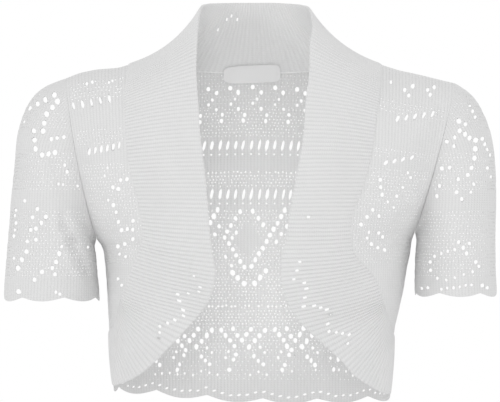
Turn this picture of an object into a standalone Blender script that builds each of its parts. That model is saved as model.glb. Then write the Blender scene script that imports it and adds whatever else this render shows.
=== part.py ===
"""Knitted shrug with short lace sleeves and a wide ribbed front band, in the shape it has when worn.

Sizes are millimetres until a mesh is made. +X is to the right of someone looking at the front,
-Y is forward and +Z is up. The origin lies midway between the shoulders, level with the neck.
"left" and "right" are as seen from the front. Each table has named columns and a row a section.
"""
import math

import bpy
import numpy as np
from mathutils import Vector
from mathutils.geometry import delaunay_2d_cdt

MM = 0.001

LACE_WALL = 1.6
BAND_WALL = 2.0
LABEL_WALL = 1.0
SEAM_GAP = 0.32
SEAM_SINK = 0.35
UNDERCUT = 0.4
RIB_PITCH = 4.1
RIB_HEIGHT = 1.1
BAND_COLUMNS = 3
INNER_STEP = 5
GRID = 18.0
SEAM_STEP = 14.0
HOLE_MARGIN = 3.2
SHOULDER_ROUND = 90.0
LEVEL_DROP = 160.0
ARMHOLE_STATIONS = 13
PANEL_STEP = 3
CAP_CUT = 0.3
EYELET_CORNERS = 5
SLIT_CORNERS = 4


def sections(columns, *rows):
    """A table: sections("a b", (1, 2), (3, 4))["a"] is its first column."""
    return dict(zip(columns.split(), np.array(rows, dtype=float).T))


# The shoulder line, from the left armhole over the neck to the right armhole.
SHOULDER = sections(
    "across height",
    (-188, -12), (-174, -6.5), (-158, -3.2), (-136, -1.5), (-124, 2), (-100, 5), (-60, 9), (0, 12),
    (60, 9), (100, 5), (126, 2), (137, -1.5), (146, -4.2), (166, -8.5), (186, -13.5), (201, -17),
)
# Half depths of the body of the garment at its middle, by the drop below the shoulder line.
DEPTH = sections(
    "drop front back",
    (0, 72, 84), (25, 84, 91), (50, 92, 97), (90, 104, 103), (130, 112, 104), (170, 116, 101),
    (210, 112, 97), (250, 104, 93), (300, 97, 90), (350, 94, 89),
)
# Half widths of the body of the garment below each armhole.
WIDTH_LEFT = sections(
    "drop width",
    (174.5, 157), (179, 152.6), (187, 150.4), (206, 148.2), (231, 146.6), (254, 145.4),
    (274, 144.4), (304, 141.6), (350, 140),
)
WIDTH_RIGHT = sections(
    "drop width",
    (167.5, 160.5), (173, 158), (184, 156.6), (204, 152.6), (224, 149.4), (244, 145),
    (264, 140.6), (294, 138.6), (350, 135.6),
)
# Rings round each sleeve, from the armhole to just past the hem. A ring runs from a point on the
# outer line to one on the inner line, and bulges forward and back by its two half depths.
SLEEVE_LEFT = sections(
    "outer_x outer_z inner_x inner_z front back bow",
    (-188, -12, -157, -174.5, 50, 52, 4),
    (-211, -22, -159.6, -177.5, 55, 56, 3),
    (-226, -38, -159, -182, 57, 58, 2),
    (-236, -66, -158, -188, 58, 58, 1),
    (-239.6, -100, -157.2, -196, 57, 57, 0),
    (-243, -134, -156.4, -205, 55, 55, 0),
    (-246, -172, -155.6, -214, 53, 53, 0),
    (-249, -208, -154.6, -223, 52, 52, 0),
    (-250.6, -240, -154, -240, 52, 52, 0),
)
SLEEVE_RIGHT = sections(
    "outer_x outer_z inner_x inner_z front back bow",
    (201, -17, 160.5, -167.5, 50, 52, 2),
    (218, -29, 162, -171, 55, 56, 2),
    (229, -46, 162, -176, 57, 58, 1),
    (237, -68, 161.6, -183, 58, 58, 1),
    (241.4, -98, 161, -192, 57, 57, 0),
    (242.2, -134, 160.6, -201, 55, 55, 0),
    (241.6, -172, 160.4, -210, 53, 53, 0),
    (242, -206, 160.4, -220, 52, 52, 0),
    (243.6, -238, 161, -236, 52, 52, 0),
)
# Sections across the front bands, up from the side seam: where the seam lies on the lace, by its
# distance along the row and its drop, then the free edge, and how far the section swells (or
# hollows, below nought) between the two.
BAND_LEFT = sections(
    "along drop edge_x edge_y edge_z swell",
    (194.9, 266, -141.2, 0, -319, 1),
    (181, 263, -137.4, -22, -318.6, 2),
    (166, 256, -120, -50, -311.5, 4),
    (158, 245, -99, -71, -295, 5),
    (152.1, 231, -62, -95, -256, 6),
    (141.3, 213, -45.5, -104, -234, 6),
    (127.7, 191, -38.5, -110, -208, 6),
    (117.7, 172, -42, -113, -181, 5),
    (116.5, 149.2, -45, -114, -152, 5),
    (121.7, 124.6, -47, -111, -124, 4),
    (127.1, 99.8, -50, -106, -96, 4),
    (129.5, 74.6, -53.5, -96, -67, 4),
    (130.2, 49.5, -55.5, -81, -36, 4),
    (130.1, 30.4, -57.5, -63, -6, 2),
    (128.8, 15.8, -57, -43, 21, -2),
    (126.6, 5.4, -56, -20, 42, -6),
    (124.5, 0, -53, 4, 59, -9),
)
BAND_RIGHT = sections(
    "along drop edge_x edge_y edge_z swell",
    (190.2, 270, 136.6, 0, -328.5, 1),
    (175, 266, 127, -30, -325.5, 2),
    (161, 257, 103, -58, -311, 4),
    (152, 246, 84, -74, -291, 5),
    (143.5, 232, 46, -98, -256, 6),
    (129.3, 210, 30, -108, -228, 6),
    (106, 190, 26.6, -112, -196, 6),
    (99.8, 170, 31.5, -114, -172, 5),
    (100.7, 147.4, 35.2, -115, -148, 5),
    (109.5, 124.9, 39, -112, -125, 4),
    (116.6, 100.2, 44, -107, -99, 4),
    (120.7, 75.5, 49, -97, -69, 4),
    (123.1, 50.7, 51, -82, -38, 4),
    (125.8, 31.7, 54.8, -64, -8, 2),
    (127, 16.7, 56, -43, 20, -2),
    (127.1, 5.7, 58.5, -20, 41, -5),
    (126.5, 0, 55.5, 4, 57.5, -8),
)
# Sections of the collar between the two shoulders, round the back of the neck.
COLLAR = sections(
    "along drop edge_x edge_y edge_z swell",
    (-108.4, 3.9, -47, 27, 62.6, -7),
    (-82.2, 9.9, -37, 45, 63.6, -4),
    (-45.1, 14.4, -21, 56, 64, -2),
    (0, 16.7, 0, 60, 64, -1),
    (45.1, 14.4, 21, 56, 64, -2),
    (82.2, 9.9, 38, 45, 63, -4),
    (109.4, 3.9, 48.5, 27, 61.4, -7),
)
# The back hem's cusps, by the distance along it from the middle; a scallop hangs between two.
HEM = sections(
    "along drop",
    (-240, 318), (-187, 319), (-160, 321), (-103, 325), (-48, 330.5), (9, 334), (65, 334),
    (125, 331), (182, 329), (240, 329),
)
HEM_SCALLOP = 5.6
HEM_STEP = 7.0
SIDE_SEAM_DROPS = {"start": 319.0, "end": 329.0}
SLEEVE_HEM = {"left": 231.0, "right": 226.5}
SLEEVE_CUSPS = np.arange(-2, 8) * 45.0 + 2
SLEEVE_SCALLOP = 4.0
SLEEVE_HEM_STEP = 9.0

# The blank label inside the back neck.
LABEL_HALF_WIDTH = 28.5
LABEL_LEVELS = (1.0, -6.0, -18.0)
LABEL_COLUMNS = 9
LABEL_CENTRE = -2.0
LABEL_TILT = 0.04
LABEL_CLEARANCE = 0.45

# The largest soft folds, as they are seen from their own side: a line, half a width and how far the
# cloth stands out, or sinks, below nought.
FOLDS = {
    "front": sections(
        "from_x from_z to_x to_z width stand",
        (-190, -152, -166, -206, 8, -3.2), (-150, -34, -132, -110, 10, -2.2),
        (-140, -190, -130, -296, 9, -2.8), (184, -48, 162, -124, 8, -3.0),
        (168, -150, 176, -212, 8, -2.6), (150, -186, 138, -270, 8, -3.0),
    ),
    "back": sections(
        "from_x from_z to_x to_z width stand",
        (-128, -34, -84, -150, 13, -3.4), (-60, -190, -78, -318, 15, 2.8),
        (-190, -150, -170, -206, 8, -3.2), (122, -40, 82, -146, 12, -3.2),
        (86, -170, 96, -322, 14, 2.8), (176, -150, 190, -212, 8, -3.0),
    ),
}
FOLD_FADE = 24.0
FOLD_STEP = 17.0
FOLD_FLANK = 1.35
FOLD_CLEAR = 9.0

# Openings in the lace. A slit is tall and leans, an eyelet is nearly round. Levels are drops on the
# body and, on a sleeve, levels below its top.
SLIT_WIDTH = 3.0
SLIT_HEIGHT = 8.6
SLIT_LEAN = 12.0
LARGE_EYELET = 6.2
LADDERS = {
    "back": sections(
        "first last level pitch tilt",
        (-129, 133, 83, 8.3, 0), (-129, 133, 130, 8.3, 0),
    ),
    "left": sections(
        "first last level pitch tilt",
        (138, 186, 96, 9, 0.06), (134, 172, 148, 7.6, 0.1),
    ),
    "right": sections(
        "first last level pitch tilt",
        (136, 190, 112, 9, -0.04), (132, 170, 158, 7.6, -0.06),
    ),
}
DIAMONDS = {
    "back": sections(
        "middle level half_width half_height per_side size",
        *((middle, 174, 28, 27, 2, LARGE_EYELET) for middle in (-146, -76, -6, 64, 134)),
    ),
    "left": sections(
        "middle level half_width half_height per_side size",
        (148, 206, 15, 30, 3, 5.2), (146, 256, 5, 7, 1, 5.2),
    ),
    "right": sections(
        "middle level half_width half_height per_side size",
        (134, 214, 15, 28, 3, 5.2), (158, 24, 12, 9, 1, 5.2),
    ),
}
SLEEVE_DIAMONDS = {
    "left": sections(
        "middle level half_width half_height per_side size",
        (44, 106, 25, 30, 3, LARGE_EYELET), (58, 188, 26, 26, 3, LARGE_EYELET),
    ),
    "right": sections(
        "middle level half_width half_height per_side size",
        (46, 124, 25, 28, 3, LARGE_EYELET), (60, 184, 26, 24, 3, LARGE_EYELET),
    ),
}
CROSS_MIDDLES = np.arange(-3, 4) * 53.5 - 10
CROSS_LEVEL = 280.0
CROSS_HALF = (17.0, 20.0)
CROSS_STEPS = 2


def spline(keys, values, at):
    """A smooth curve through a table's rows, read at one or more keys."""
    keys = np.asarray(keys, float)
    values = np.asarray(values, float)
    slopes = np.gradient(values, keys)
    at = np.clip(at, keys[0], keys[-1])
    row = np.clip(np.searchsorted(keys, at, side="right") - 1, 0, len(keys) - 2)
    step = keys[row + 1] - keys[row]
    t = (at - keys[row]) / step
    start = (1 + 2 * t) * (1 - t) ** 2 * values[row] + t * (1 - t) ** 2 * step * slopes[row]
    end = t * t * (3 - 2 * t) * values[row + 1] + t * t * (t - 1) * step * slopes[row + 1]
    return start + end


def shoulder_height(x):
    return np.interp(x, SHOULDER["across"], SHOULDER["height"])


def height(x, drop):
    """Level of a point by its drop below the shoulder line. Rows sag level lower down."""
    return -drop + shoulder_height(x) * np.maximum(0.0, 1 - drop / LEVEL_DROP)


def drop_of(x, z):
    line = shoulder_height(x)
    near = (line - z) / (1 + line / LEVEL_DROP)
    return np.where(near < LEVEL_DROP, near, -z)


def sleeve_point(table, ring, turn):
    """A point of a sleeve: ring counts the table's rows, turn is 0 outside, pi inside, + in front."""
    rows = np.arange(len(table["front"]))
    value = {name: spline(rows, column, ring) for name, column in table.items()}
    along = (1 - np.cos(turn)) / 2
    reach_x = value["inner_x"] - value["outer_x"]
    reach_z = value["inner_z"] - value["outer_z"]
    reach = np.hypot(reach_x, reach_z)
    outward = -np.sign(reach_x)
    bow = value["bow"] * 4 * along * (1 - along)
    x = value["outer_x"] + reach_x * along - outward * bow * reach_z / reach
    z = value["outer_z"] + reach_z * along - bow * np.abs(reach_x) / reach
    depth = np.where(turn > 0, value["front"], value["back"])
    return x, -depth * np.sin(turn), z


SIDES = {
    "left": {"sign": -1, "width": WIDTH_LEFT, "sleeve": SLEEVE_LEFT},
    "right": {"sign": 1, "width": WIDTH_RIGHT, "sleeve": SLEEVE_RIGHT},
}
FACES = {"front": -1, "back": 1}


def armhole(side, face):
    """Half an armhole, from the shoulder to the underarm: its drops, widths and depths."""
    turns = np.linspace(0, math.pi, 181) * (1 if face == "front" else -1)
    x, y, z = sleeve_point(SIDES[side]["sleeve"], 0.0, turns)
    return drop_of(x, z), np.abs(x), np.abs(y)


ARMHOLES = {(side, face): armhole(side, face) for side in SIDES for face in FACES}


def body_section(side, face, drop):
    """Middle depth, edge half width and edge depth of the body of the garment at a drop."""
    drops, widths, depths = ARMHOLES[side, face]
    table = SIDES[side]["width"]
    above = drop < drops[-1]
    width = np.where(above, np.interp(drop, drops, widths), spline(table["drop"], table["width"], drop))
    edge = np.where(above, np.interp(drop, drops, depths), 0.0)
    rounding = np.sqrt(1 - (1 - np.clip(drop / SHOULDER_ROUND, 0, 1)) ** 2)
    middle = spline(DEPTH["drop"], DEPTH[face], drop) * rounding
    return middle, width, edge


def body_point(side, face, x, drop):
    """A point on the body of the garment, x from the middle, at a drop below the shoulder line."""
    middle, width, edge = body_section(side, face, drop)
    part = np.clip(np.abs(x) / width, 0, 1)
    depth = np.sqrt(np.maximum(middle**2 - part**2 * (middle**2 - edge**2), 0))
    return np.array([x, FACES[face] * depth, height(x, drop)])


def lengths(points):
    steps = np.linalg.norm(np.diff(points, axis=0), axis=1)
    return np.concatenate(([0.0], np.cumsum(steps)))


def spread(points, count):
    """The same line with its points evenly spaced."""
    along = lengths(points)
    even = np.linspace(0, along[-1], count)
    return np.stack([np.interp(even, along, points[:, i]) for i in range(3)], axis=1), along[-1]


class Cloth:
    """A curved panel. A point is found by its distance along a row of knitting and its level."""

    def __init__(self, levels, rows, starts, ends):
        self.levels = np.asarray(levels, float)
        self.rows = np.asarray(rows, float)
        self.starts = np.asarray(starts, float)
        self.ends = np.asarray(ends, float)

    def edge(self, level, which):
        return float(np.interp(level, self.levels, self.starts if which == "start" else self.ends))

    def point(self, u, v):
        levels = self.levels
        v = np.clip(v, levels[0], levels[-1])
        row = np.clip(np.searchsorted(levels, v, side="right") - 1, 0, len(levels) - 2)
        part = ((v - levels[row]) / (levels[row + 1] - levels[row]))[..., None]
        start = np.interp(v, levels, self.starts)
        end = np.interp(v, levels, self.ends)
        last = self.rows.shape[1] - 1
        column = np.clip((u - start) / np.maximum(end - start, 1e-6), 0, 1) * last
        left = np.clip(column.astype(int), 0, last - 1)
        beside = (column - left)[..., None]
        above = self.rows[row, left] * (1 - beside) + self.rows[row, left + 1] * beside
        below = self.rows[row + 1, left] * (1 - beside) + self.rows[row + 1, left + 1] * beside
        return above * (1 - part) + below * part

    def across_at(self, x, level):
        """How far along its row the point of a level lies that has this x, or None off the cloth."""
        u = np.linspace(self.edge(level, "start"), self.edge(level, "end"), 120)
        found = self.point(u, np.full_like(u, level))[:, 0]
        if not self.levels[0] < level < self.levels[-1] or not found.min() < x < found.max():
            return None
        order = np.argsort(found)
        return float(np.interp(x, found[order], u[order]))

    def frame(self, u, v, step=1.2):
        """Points and unit normals."""
        u = np.asarray(u, float)
        v = np.asarray(v, float)
        short = np.minimum(step, 0.02 + 0.5 * np.maximum(v - self.levels[0], 0))
        along = self.point(u + step, v) - self.point(u - step, v)
        down = self.point(u, v + short) - self.point(u, v - short)
        normal = np.cross(along, down)
        normal /= np.maximum(np.linalg.norm(normal, axis=-1, keepdims=True), 1e-9)
        return self.point(u, v), normal


def fold_height(folds, x, z):
    """How far all the folds together stand out at points seen from their side."""
    total = np.zeros_like(x)
    for from_x, from_z, to_x, to_z, width, stand in zip(*folds.values()):
        span_x, span_z = to_x - from_x, to_z - from_z
        along = ((x - from_x) * span_x + (z - from_z) * span_z) / (span_x**2 + span_z**2)
        near = np.clip(along, 0, 1)
        away = np.hypot(x - from_x - near * span_x, z - from_z - near * span_z)
        total += stand * np.exp(-((away / width) ** 2))
    return total


def folded(points):
    """Points pushed forward or back by the folds. The push fades out at the sides."""
    x, y, z = points.T
    fade = np.clip(np.abs(y) / FOLD_FADE, 0, 1)
    fade = fade * fade * (3 - 2 * fade)
    ahead, behind = (fold_height(FOLDS[face], x, z) for face in FACES)
    return np.stack((x, y + np.where(y < 0, -ahead, behind) * fade, z), axis=1)


def fold_points(cloth, face, on_body):
    """Flat points along the crest and both flanks of each fold that lies on a panel."""
    found = []
    for from_x, from_z, to_x, to_z, width, _ in zip(*FOLDS[face].values()):
        span = np.array((to_x - from_x, to_z - from_z))
        length = math.hypot(*span)
        aside = np.array((-span[1], span[0])) / length * width * FOLD_FLANK
        for offset in (-1, 0, 1):
            for part in np.linspace(0, 1, round(length / FOLD_STEP) + 1):
                x, z = (from_x, from_z) + part * span + offset * aside
                level = float(drop_of(x, z)) if on_body else -z
                u = cloth.across_at(x, level)
                if u is not None:
                    found.append((u, level))
    return found


def body_cloth(face, sides):
    """The front or back of the garment's body, from the left side, the right side or both."""
    levels = np.linspace(0, math.sqrt(349), 190) ** 2
    turns = np.linspace(0, math.pi / 2, 161)
    rows, starts, ends = [], [], []
    for drop in levels:
        halves = {}
        for side in sides:
            _, width, _ = body_section(side, face, drop)
            x = SIDES[side]["sign"] * width * np.sin(turns)
            line = body_point(side, face, x, np.full_like(x, drop)).T
            halves[side] = spread(line, 121)
        if len(sides) == 2:
            rows.append(np.concatenate((halves["left"][0][::-1], halves["right"][0][1:])))
            starts.append(-halves["left"][1])
            ends.append(halves["right"][1])
        else:
            rows.append(halves[sides[0]][0])
            starts.append(0.0)
            ends.append(halves[sides[0]][1])
    if len(sides) == 2:
        rows = [spread(row, 241)[0] for row in rows]
    return Cloth(levels, rows, starts, ends)


def sleeve_cloth(side, face):
    """Half a sleeve, from its outer line to the armhole seam and, lower down, its inner line."""
    table = SIDES[side]["sleeve"]
    sense = 1 if face == "front" else -1
    rings = np.linspace(0, len(table["front"]) - 1, 121)
    turns = np.linspace(0, math.pi, 121)
    grid = [sleeve_point(table, rings, np.full_like(rings, turn * sense)) for turn in turns]
    cap_levels = np.array([-z[0] for _, _, z in grid])
    top = cap_levels[0]
    bottom = min(-table["outer_z"][-1], -table["inner_z"][-1])
    levels = top + np.linspace(0, math.sqrt(bottom - top), 150) ** 2
    rows, ends = [], []
    for level in levels:
        last_turn = float(np.interp(level, cap_levels, turns))
        line = [
            (np.interp(level, -z, x), np.interp(level, -z, y), -level)
            for turn, (x, y, z) in zip(turns, grid) if turn < last_turn
        ]
        x, y, _ = sleeve_point(table, 0.0, last_turn * sense)
        if level < cap_levels[-1]:
            line.append((float(x), float(y), -level))
        else:
            x, y, z = grid[-1]
            line.append((np.interp(level, -z, x), np.interp(level, -z, y), -level))
        points, length = spread(np.array(line * 2 if len(line) == 1 else line), 91)
        rows.append(points)
        ends.append(length)
    return Cloth(levels, rows, np.zeros(len(levels)), ends)


def steps_between(first, last, step=SEAM_STEP):
    """Levels from one to another, both kept, spaced about a step."""
    count = max(1, round(abs(last - first) / step))
    return list(np.linspace(first, last, count + 1))


def armhole_levels(side, face, measure):
    """The armhole's shared stations, as drops on the body or as levels on the sleeve."""
    turns = np.linspace(0, math.pi, ARMHOLE_STATIONS + 1) * (1 if face == "front" else -1)
    x, _, z = sleeve_point(SIDES[side]["sleeve"], 0.0, turns)
    return [float(v) for v in (drop_of(x, z) if measure == "drop" else -z)]


def scallop(along, cusps, depth):
    """How far a scalloped hem hangs below its cusps."""
    row = np.clip(np.searchsorted(cusps, along, side="right") - 1, 0, len(cusps) - 2)
    part = (along - cusps[row]) / (cusps[row + 1] - cusps[row])
    return depth * np.sin(math.pi * np.clip(part, 0, 1))


def hem_drop(along):
    return float(
        np.interp(along, HEM["along"], HEM["drop"]) + scallop(along, HEM["along"], HEM_SCALLOP)
    )


def sleeve_hem_level(side, along):
    return SLEEVE_HEM[side] + float(scallop(along, SLEEVE_CUSPS, SLEEVE_SCALLOP))


def inside(outline, points):
    """Which flat points lie inside a flat outline."""
    x, y = points[:, 0], points[:, 1]
    result = np.zeros(len(points), bool)
    for (ax, ay), (bx, by) in zip(outline, np.roll(outline, -1, axis=0)):
        crosses = (ay > y) != (by > y)
        reach = ax + (y - ay) * (bx - ax) / (by - ay if by != ay else 1e-12)
        result ^= crosses & (x < reach)
    return result


def edge_distance(outline, points):
    """Each flat point's distance to the nearest edge of an outline."""
    best = np.full(len(points), 1e9)
    for a, b in zip(outline, np.roll(outline, -1, axis=0)):
        span = b - a
        t = np.clip(((points - a) @ span) / max(span @ span, 1e-12), 0, 1)
        best = np.minimum(best, np.linalg.norm(points - a - t[:, None] * span, axis=1))
    return best


def hole_ring(hole):
    """Corner points of one opening: its place, width, height, lean in degrees and corners."""
    u, v, width, tall, lean, corners = hole
    turn = math.radians(lean)
    points = []
    for i in range(corners):
        angle = 2 * math.pi * (i + 0.5) / corners
        scale = math.sqrt(2) if corners == 4 else 1.0
        across = math.cos(angle) * width / 2 * scale
        down = math.sin(angle) * tall / 2 * scale
        points.append((u + across * math.cos(turn) - down * math.sin(turn),
                       v + across * math.sin(turn) + down * math.cos(turn)))
    return points


def room_for(holes, outline):
    """The openings that lie clear of the outline and of the openings before them."""
    kept = []
    for hole in holes:
        ring = np.array(hole_ring(hole))
        if not inside(outline, ring).all() or edge_distance(outline, ring).min() < HOLE_MARGIN:
            continue
        reach = max(hole[2], hole[3]) / 2
        if all(math.hypot((hole[0] - h[0]), (hole[1] - h[1]) * 0.8) > (hole[2] + h[2]) / 2 + 1.4
               for h in kept if abs(hole[0] - h[0]) < 2 * reach + 8):
            kept.append(hole)
    return kept


def triangulate(outline, holes, creases):
    """Triangles that fill an outline, with points on the folds and a staggered grid between."""
    outline = np.asarray(outline, float)
    points = [tuple(p) for p in outline]
    owner = [-1] * len(points)
    edges = [(i, (i + 1) % len(points)) for i in range(len(points))]
    for number, hole in enumerate(holes):
        ring = hole_ring(hole)
        first = len(points)
        points += ring
        owner += [number] * len(ring)
        edges += [(first + i, first + (i + 1) % len(ring)) for i in range(len(ring))]
    low, high = outline.min(axis=0), outline.max(axis=0)
    grid = []
    for j, v in enumerate(np.arange(low[1] + GRID / 2, high[1], GRID * 0.87)):
        for u in np.arange(low[0] + (GRID / 2 if j % 2 else 0), high[0], GRID):
            grid.append((u, v))
    grid = np.array(grid)
    for u, v in creases:
        grid = grid[np.hypot(grid[:, 0] - u, grid[:, 1] - v) > FOLD_CLEAR]
    grid = np.array([*grid, *creases])
    grid = grid[inside(outline, grid)]
    grid = grid[edge_distance(outline, grid) > GRID * 0.45]
    for hole in holes:
        reach = np.hypot(grid[:, 0] - hole[0], grid[:, 1] - hole[1])
        grid = grid[reach > max(hole[2], hole[3]) / 2 + 2.5]
    points += [tuple(p) for p in grid]
    owner += [-2] * len(grid)
    found, _, faces, origin, _, _ = delaunay_2d_cdt(
        [Vector(p) for p in points], edges, [], 0, 1e-5, True
    )
    found = np.array([tuple(p) for p in found])
    source = [ids[0] for ids in origin]
    faces = np.array([tuple(f) for f in faces])
    centres = found[faces].mean(axis=1)
    keep = inside(outline, centres)
    for i, face in enumerate(faces):
        owners = {owner[source[k]] for k in face}
        if len(owners) == 1 and owners.pop() >= 0:
            keep[i] = False
    return found, faces[keep], source


def seam_shift(flat, order, points, normal):
    """The way each outline point moves into its own panel, to leave the gap at the seams."""
    ring = flat[order]
    after = np.roll(ring, -1, axis=0)
    turn = np.sign((ring[:, 0] * after[:, 1] - after[:, 0] * ring[:, 1]).sum())
    shift = {}
    for before, this, beyond in zip(order[-1:] + order[:-1], order, order[1:] + order[:1]):
        inward = []
        for a, b in ((before, this), (this, beyond)):
            way = np.cross(normal[this], points[b] - points[a]) * turn
            inward.append(way / np.linalg.norm(way))
        shift[this] = (inward[0] + inward[1]) / max(1 + inward[0] @ inward[1], 0.35)
    return shift


def wall_from(outer, inner, faces):
    """A closed wall between two matching skins, with walls round its edge and its openings."""
    count = len(outer)
    sides = {}
    for a, b, c in faces:
        for edge in ((a, b), (b, c), (c, a)):
            sides[edge] = True
    solid = [tuple(f) for f in faces]
    solid += [(c + count, b + count, a + count) for a, b, c in faces]
    for a, b in list(sides):
        if (b, a) not in sides:
            solid += [(b, a, a + count), (b, a + count, b + count)]
    return np.concatenate((outer, inner)), solid


def lace_panel(name, cloth, face, outline, holes, outward, colour):
    """A lace panel as a solid: the flat outline and openings laid on the cloth's curved form."""
    outline = np.asarray(outline, float)
    holes = room_for(holes, outline)
    on_body = not name.startswith("sleeve")
    flat, faces, source = triangulate(outline, holes, fold_points(cloth, face, on_body))
    points, normal = cloth.frame(flat[:, 0], flat[:, 1])
    sign = 1 if (normal.mean(axis=0) @ np.array(outward)) > 0 else -1
    place = {given: i for i, given in enumerate(source)}
    order = [place[i] for i in range(len(outline))]
    outer = points.copy()
    inner = points - sign * normal * LACE_WALL
    for i, inward in seam_shift(flat, order, points, normal).items():
        sink = sign * normal[i] * SEAM_SINK
        outer[i] += inward * SEAM_GAP / 2 - sink
        inner[i] += inward * (SEAM_GAP / 2 + UNDERCUT) - sink
    if sign < 0:
        faces = faces[:, ::-1]
    verts, solid = wall_from(outer, inner, faces)
    make_object(name, verts, solid, colour)
    print(f"{name}: {len(holes)} openings, {len(solid)} triangles")
    return len(holes)


def make_object(name, verts, faces, colour):
    """A named mesh object with its own material."""
    mesh = bpy.data.meshes.new(name)
    corners = [tuple(v) for v in folded(np.asarray(verts)) * MM]
    mesh.from_pydata(corners, [], [tuple(int(i) for i in f) for f in faces])
    mesh.update()
    mesh.shade_smooth()
    mesh.set_sharp_from_angle(angle=math.radians(50))
    material = bpy.data.materials.new(name + "_yarn")
    material.use_nodes = True
    shader = material.node_tree.nodes["Principled BSDF"]
    shader.inputs["Base Color"].default_value = colour
    shader.inputs["Roughness"].default_value = 0.85
    shader.inputs["Metallic"].default_value = 0.0
    mesh.materials.append(material)
    piece = bpy.data.objects.new(name, mesh)
    bpy.context.scene.collection.objects.link(piece)
    return piece


WHITE = (0.86, 0.86, 0.87, 1.0)
LABEL_WHITE = (0.92, 0.92, 0.93, 1.0)

CLOTHS = {
    "left": body_cloth("front", ["left"]),
    "right": body_cloth("front", ["right"]),
    "back": body_cloth("back", ["left", "right"]),
}


def on_body(along, root):
    """A point of the seam between lace and band. root is the root of its drop, below nought in front."""
    if root >= 0:
        return CLOTHS["back"].point(np.array(along), np.array(root * root))
    side = "left" if along < 0 else "right"
    return CLOTHS[side].point(np.array(abs(along)), np.array(root * root))


def band_rows():
    """The band's sections in one run, from the left side seam round the neck to the right."""
    run = {}
    for name in COLLAR:
        left, right = BAND_LEFT[name], BAND_RIGHT[name][::-1]
        if name == "drop":
            run["root"] = np.concatenate((-np.sqrt(left), np.sqrt(COLLAR[name]), -np.sqrt(right)))
        else:
            sign = -1 if name == "along" else 1
            run[name] = np.concatenate((sign * left, COLLAR[name], right))
    return run


BAND = band_rows()
LEFT_SHOULDER = len(BAND_LEFT["drop"]) - 1
RIGHT_SHOULDER = len(BAND["root"]) - len(BAND_RIGHT["drop"])
BAND_PIECES = {
    "band_left": (0, LEFT_SHOULDER),
    "band_back": (LEFT_SHOULDER, RIGHT_SHOULDER),
    "band_right": (RIGHT_SHOULDER, len(BAND["root"]) - 1),
}


def band_lines(parts):
    """The band's seam line, free edge and swell at parts of its run, counted in sections."""
    rows = np.arange(len(BAND["root"]))
    value = {name: spline(rows, column, parts) for name, column in BAND.items()}
    seam = np.array([on_body(a, r) for a, r in zip(value["along"], value["root"])])
    edge = np.stack((value["edge_x"], value["edge_y"], value["edge_z"]), axis=1)
    return seam, edge, value["swell"], value


def band_stations():
    """Two stations a rib, evenly spaced along the middle of each piece of the band."""
    stations, spans = [], {}
    for name, (first, last) in BAND_PIECES.items():
        fine = np.linspace(first, last, 300)
        seam, edge, _, _ = band_lines(fine)
        along = lengths((seam + edge) / 2)
        count = 2 * round(along[-1] / RIB_PITCH) + 1
        parts = np.interp(np.linspace(0, along[-1], count), along, fine)
        parts[0], parts[-1] = first, last
        begin = max(len(stations) - 1, 0)
        stations += list(parts if not stations else parts[1:])
        spans[name] = (begin, len(stations))
    return np.array(stations), spans


def grid_normals(grid):
    along = np.gradient(grid, axis=0)
    across = np.gradient(grid, axis=1)
    normal = np.cross(along, across)
    return normal / np.linalg.norm(normal, axis=2, keepdims=True)


STATIONS, SPANS = band_stations()
SEAM_LINE, EDGE_LINE, SWELL, SEAM_VALUES = band_lines(STATIONS)


def band_grid():
    """Points of the band's plain outer form, a row for each half rib, and their outward normals."""
    v = np.linspace(0, 1, BAND_COLUMNS + 1)[None, :, None]
    grid = SEAM_LINE[:, None] * (1 - v) + EDGE_LINE[:, None] * v
    facing = np.sign((grid_normals(grid)[len(grid) // 2, 1])[1])
    grid = grid + grid_normals(grid) * facing * (SWELL[:, None, None] * 4 * v * (1 - v))
    return grid, grid_normals(grid) * facing


def unit(vectors):
    return vectors / np.linalg.norm(vectors, axis=-1, keepdims=True)


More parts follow.
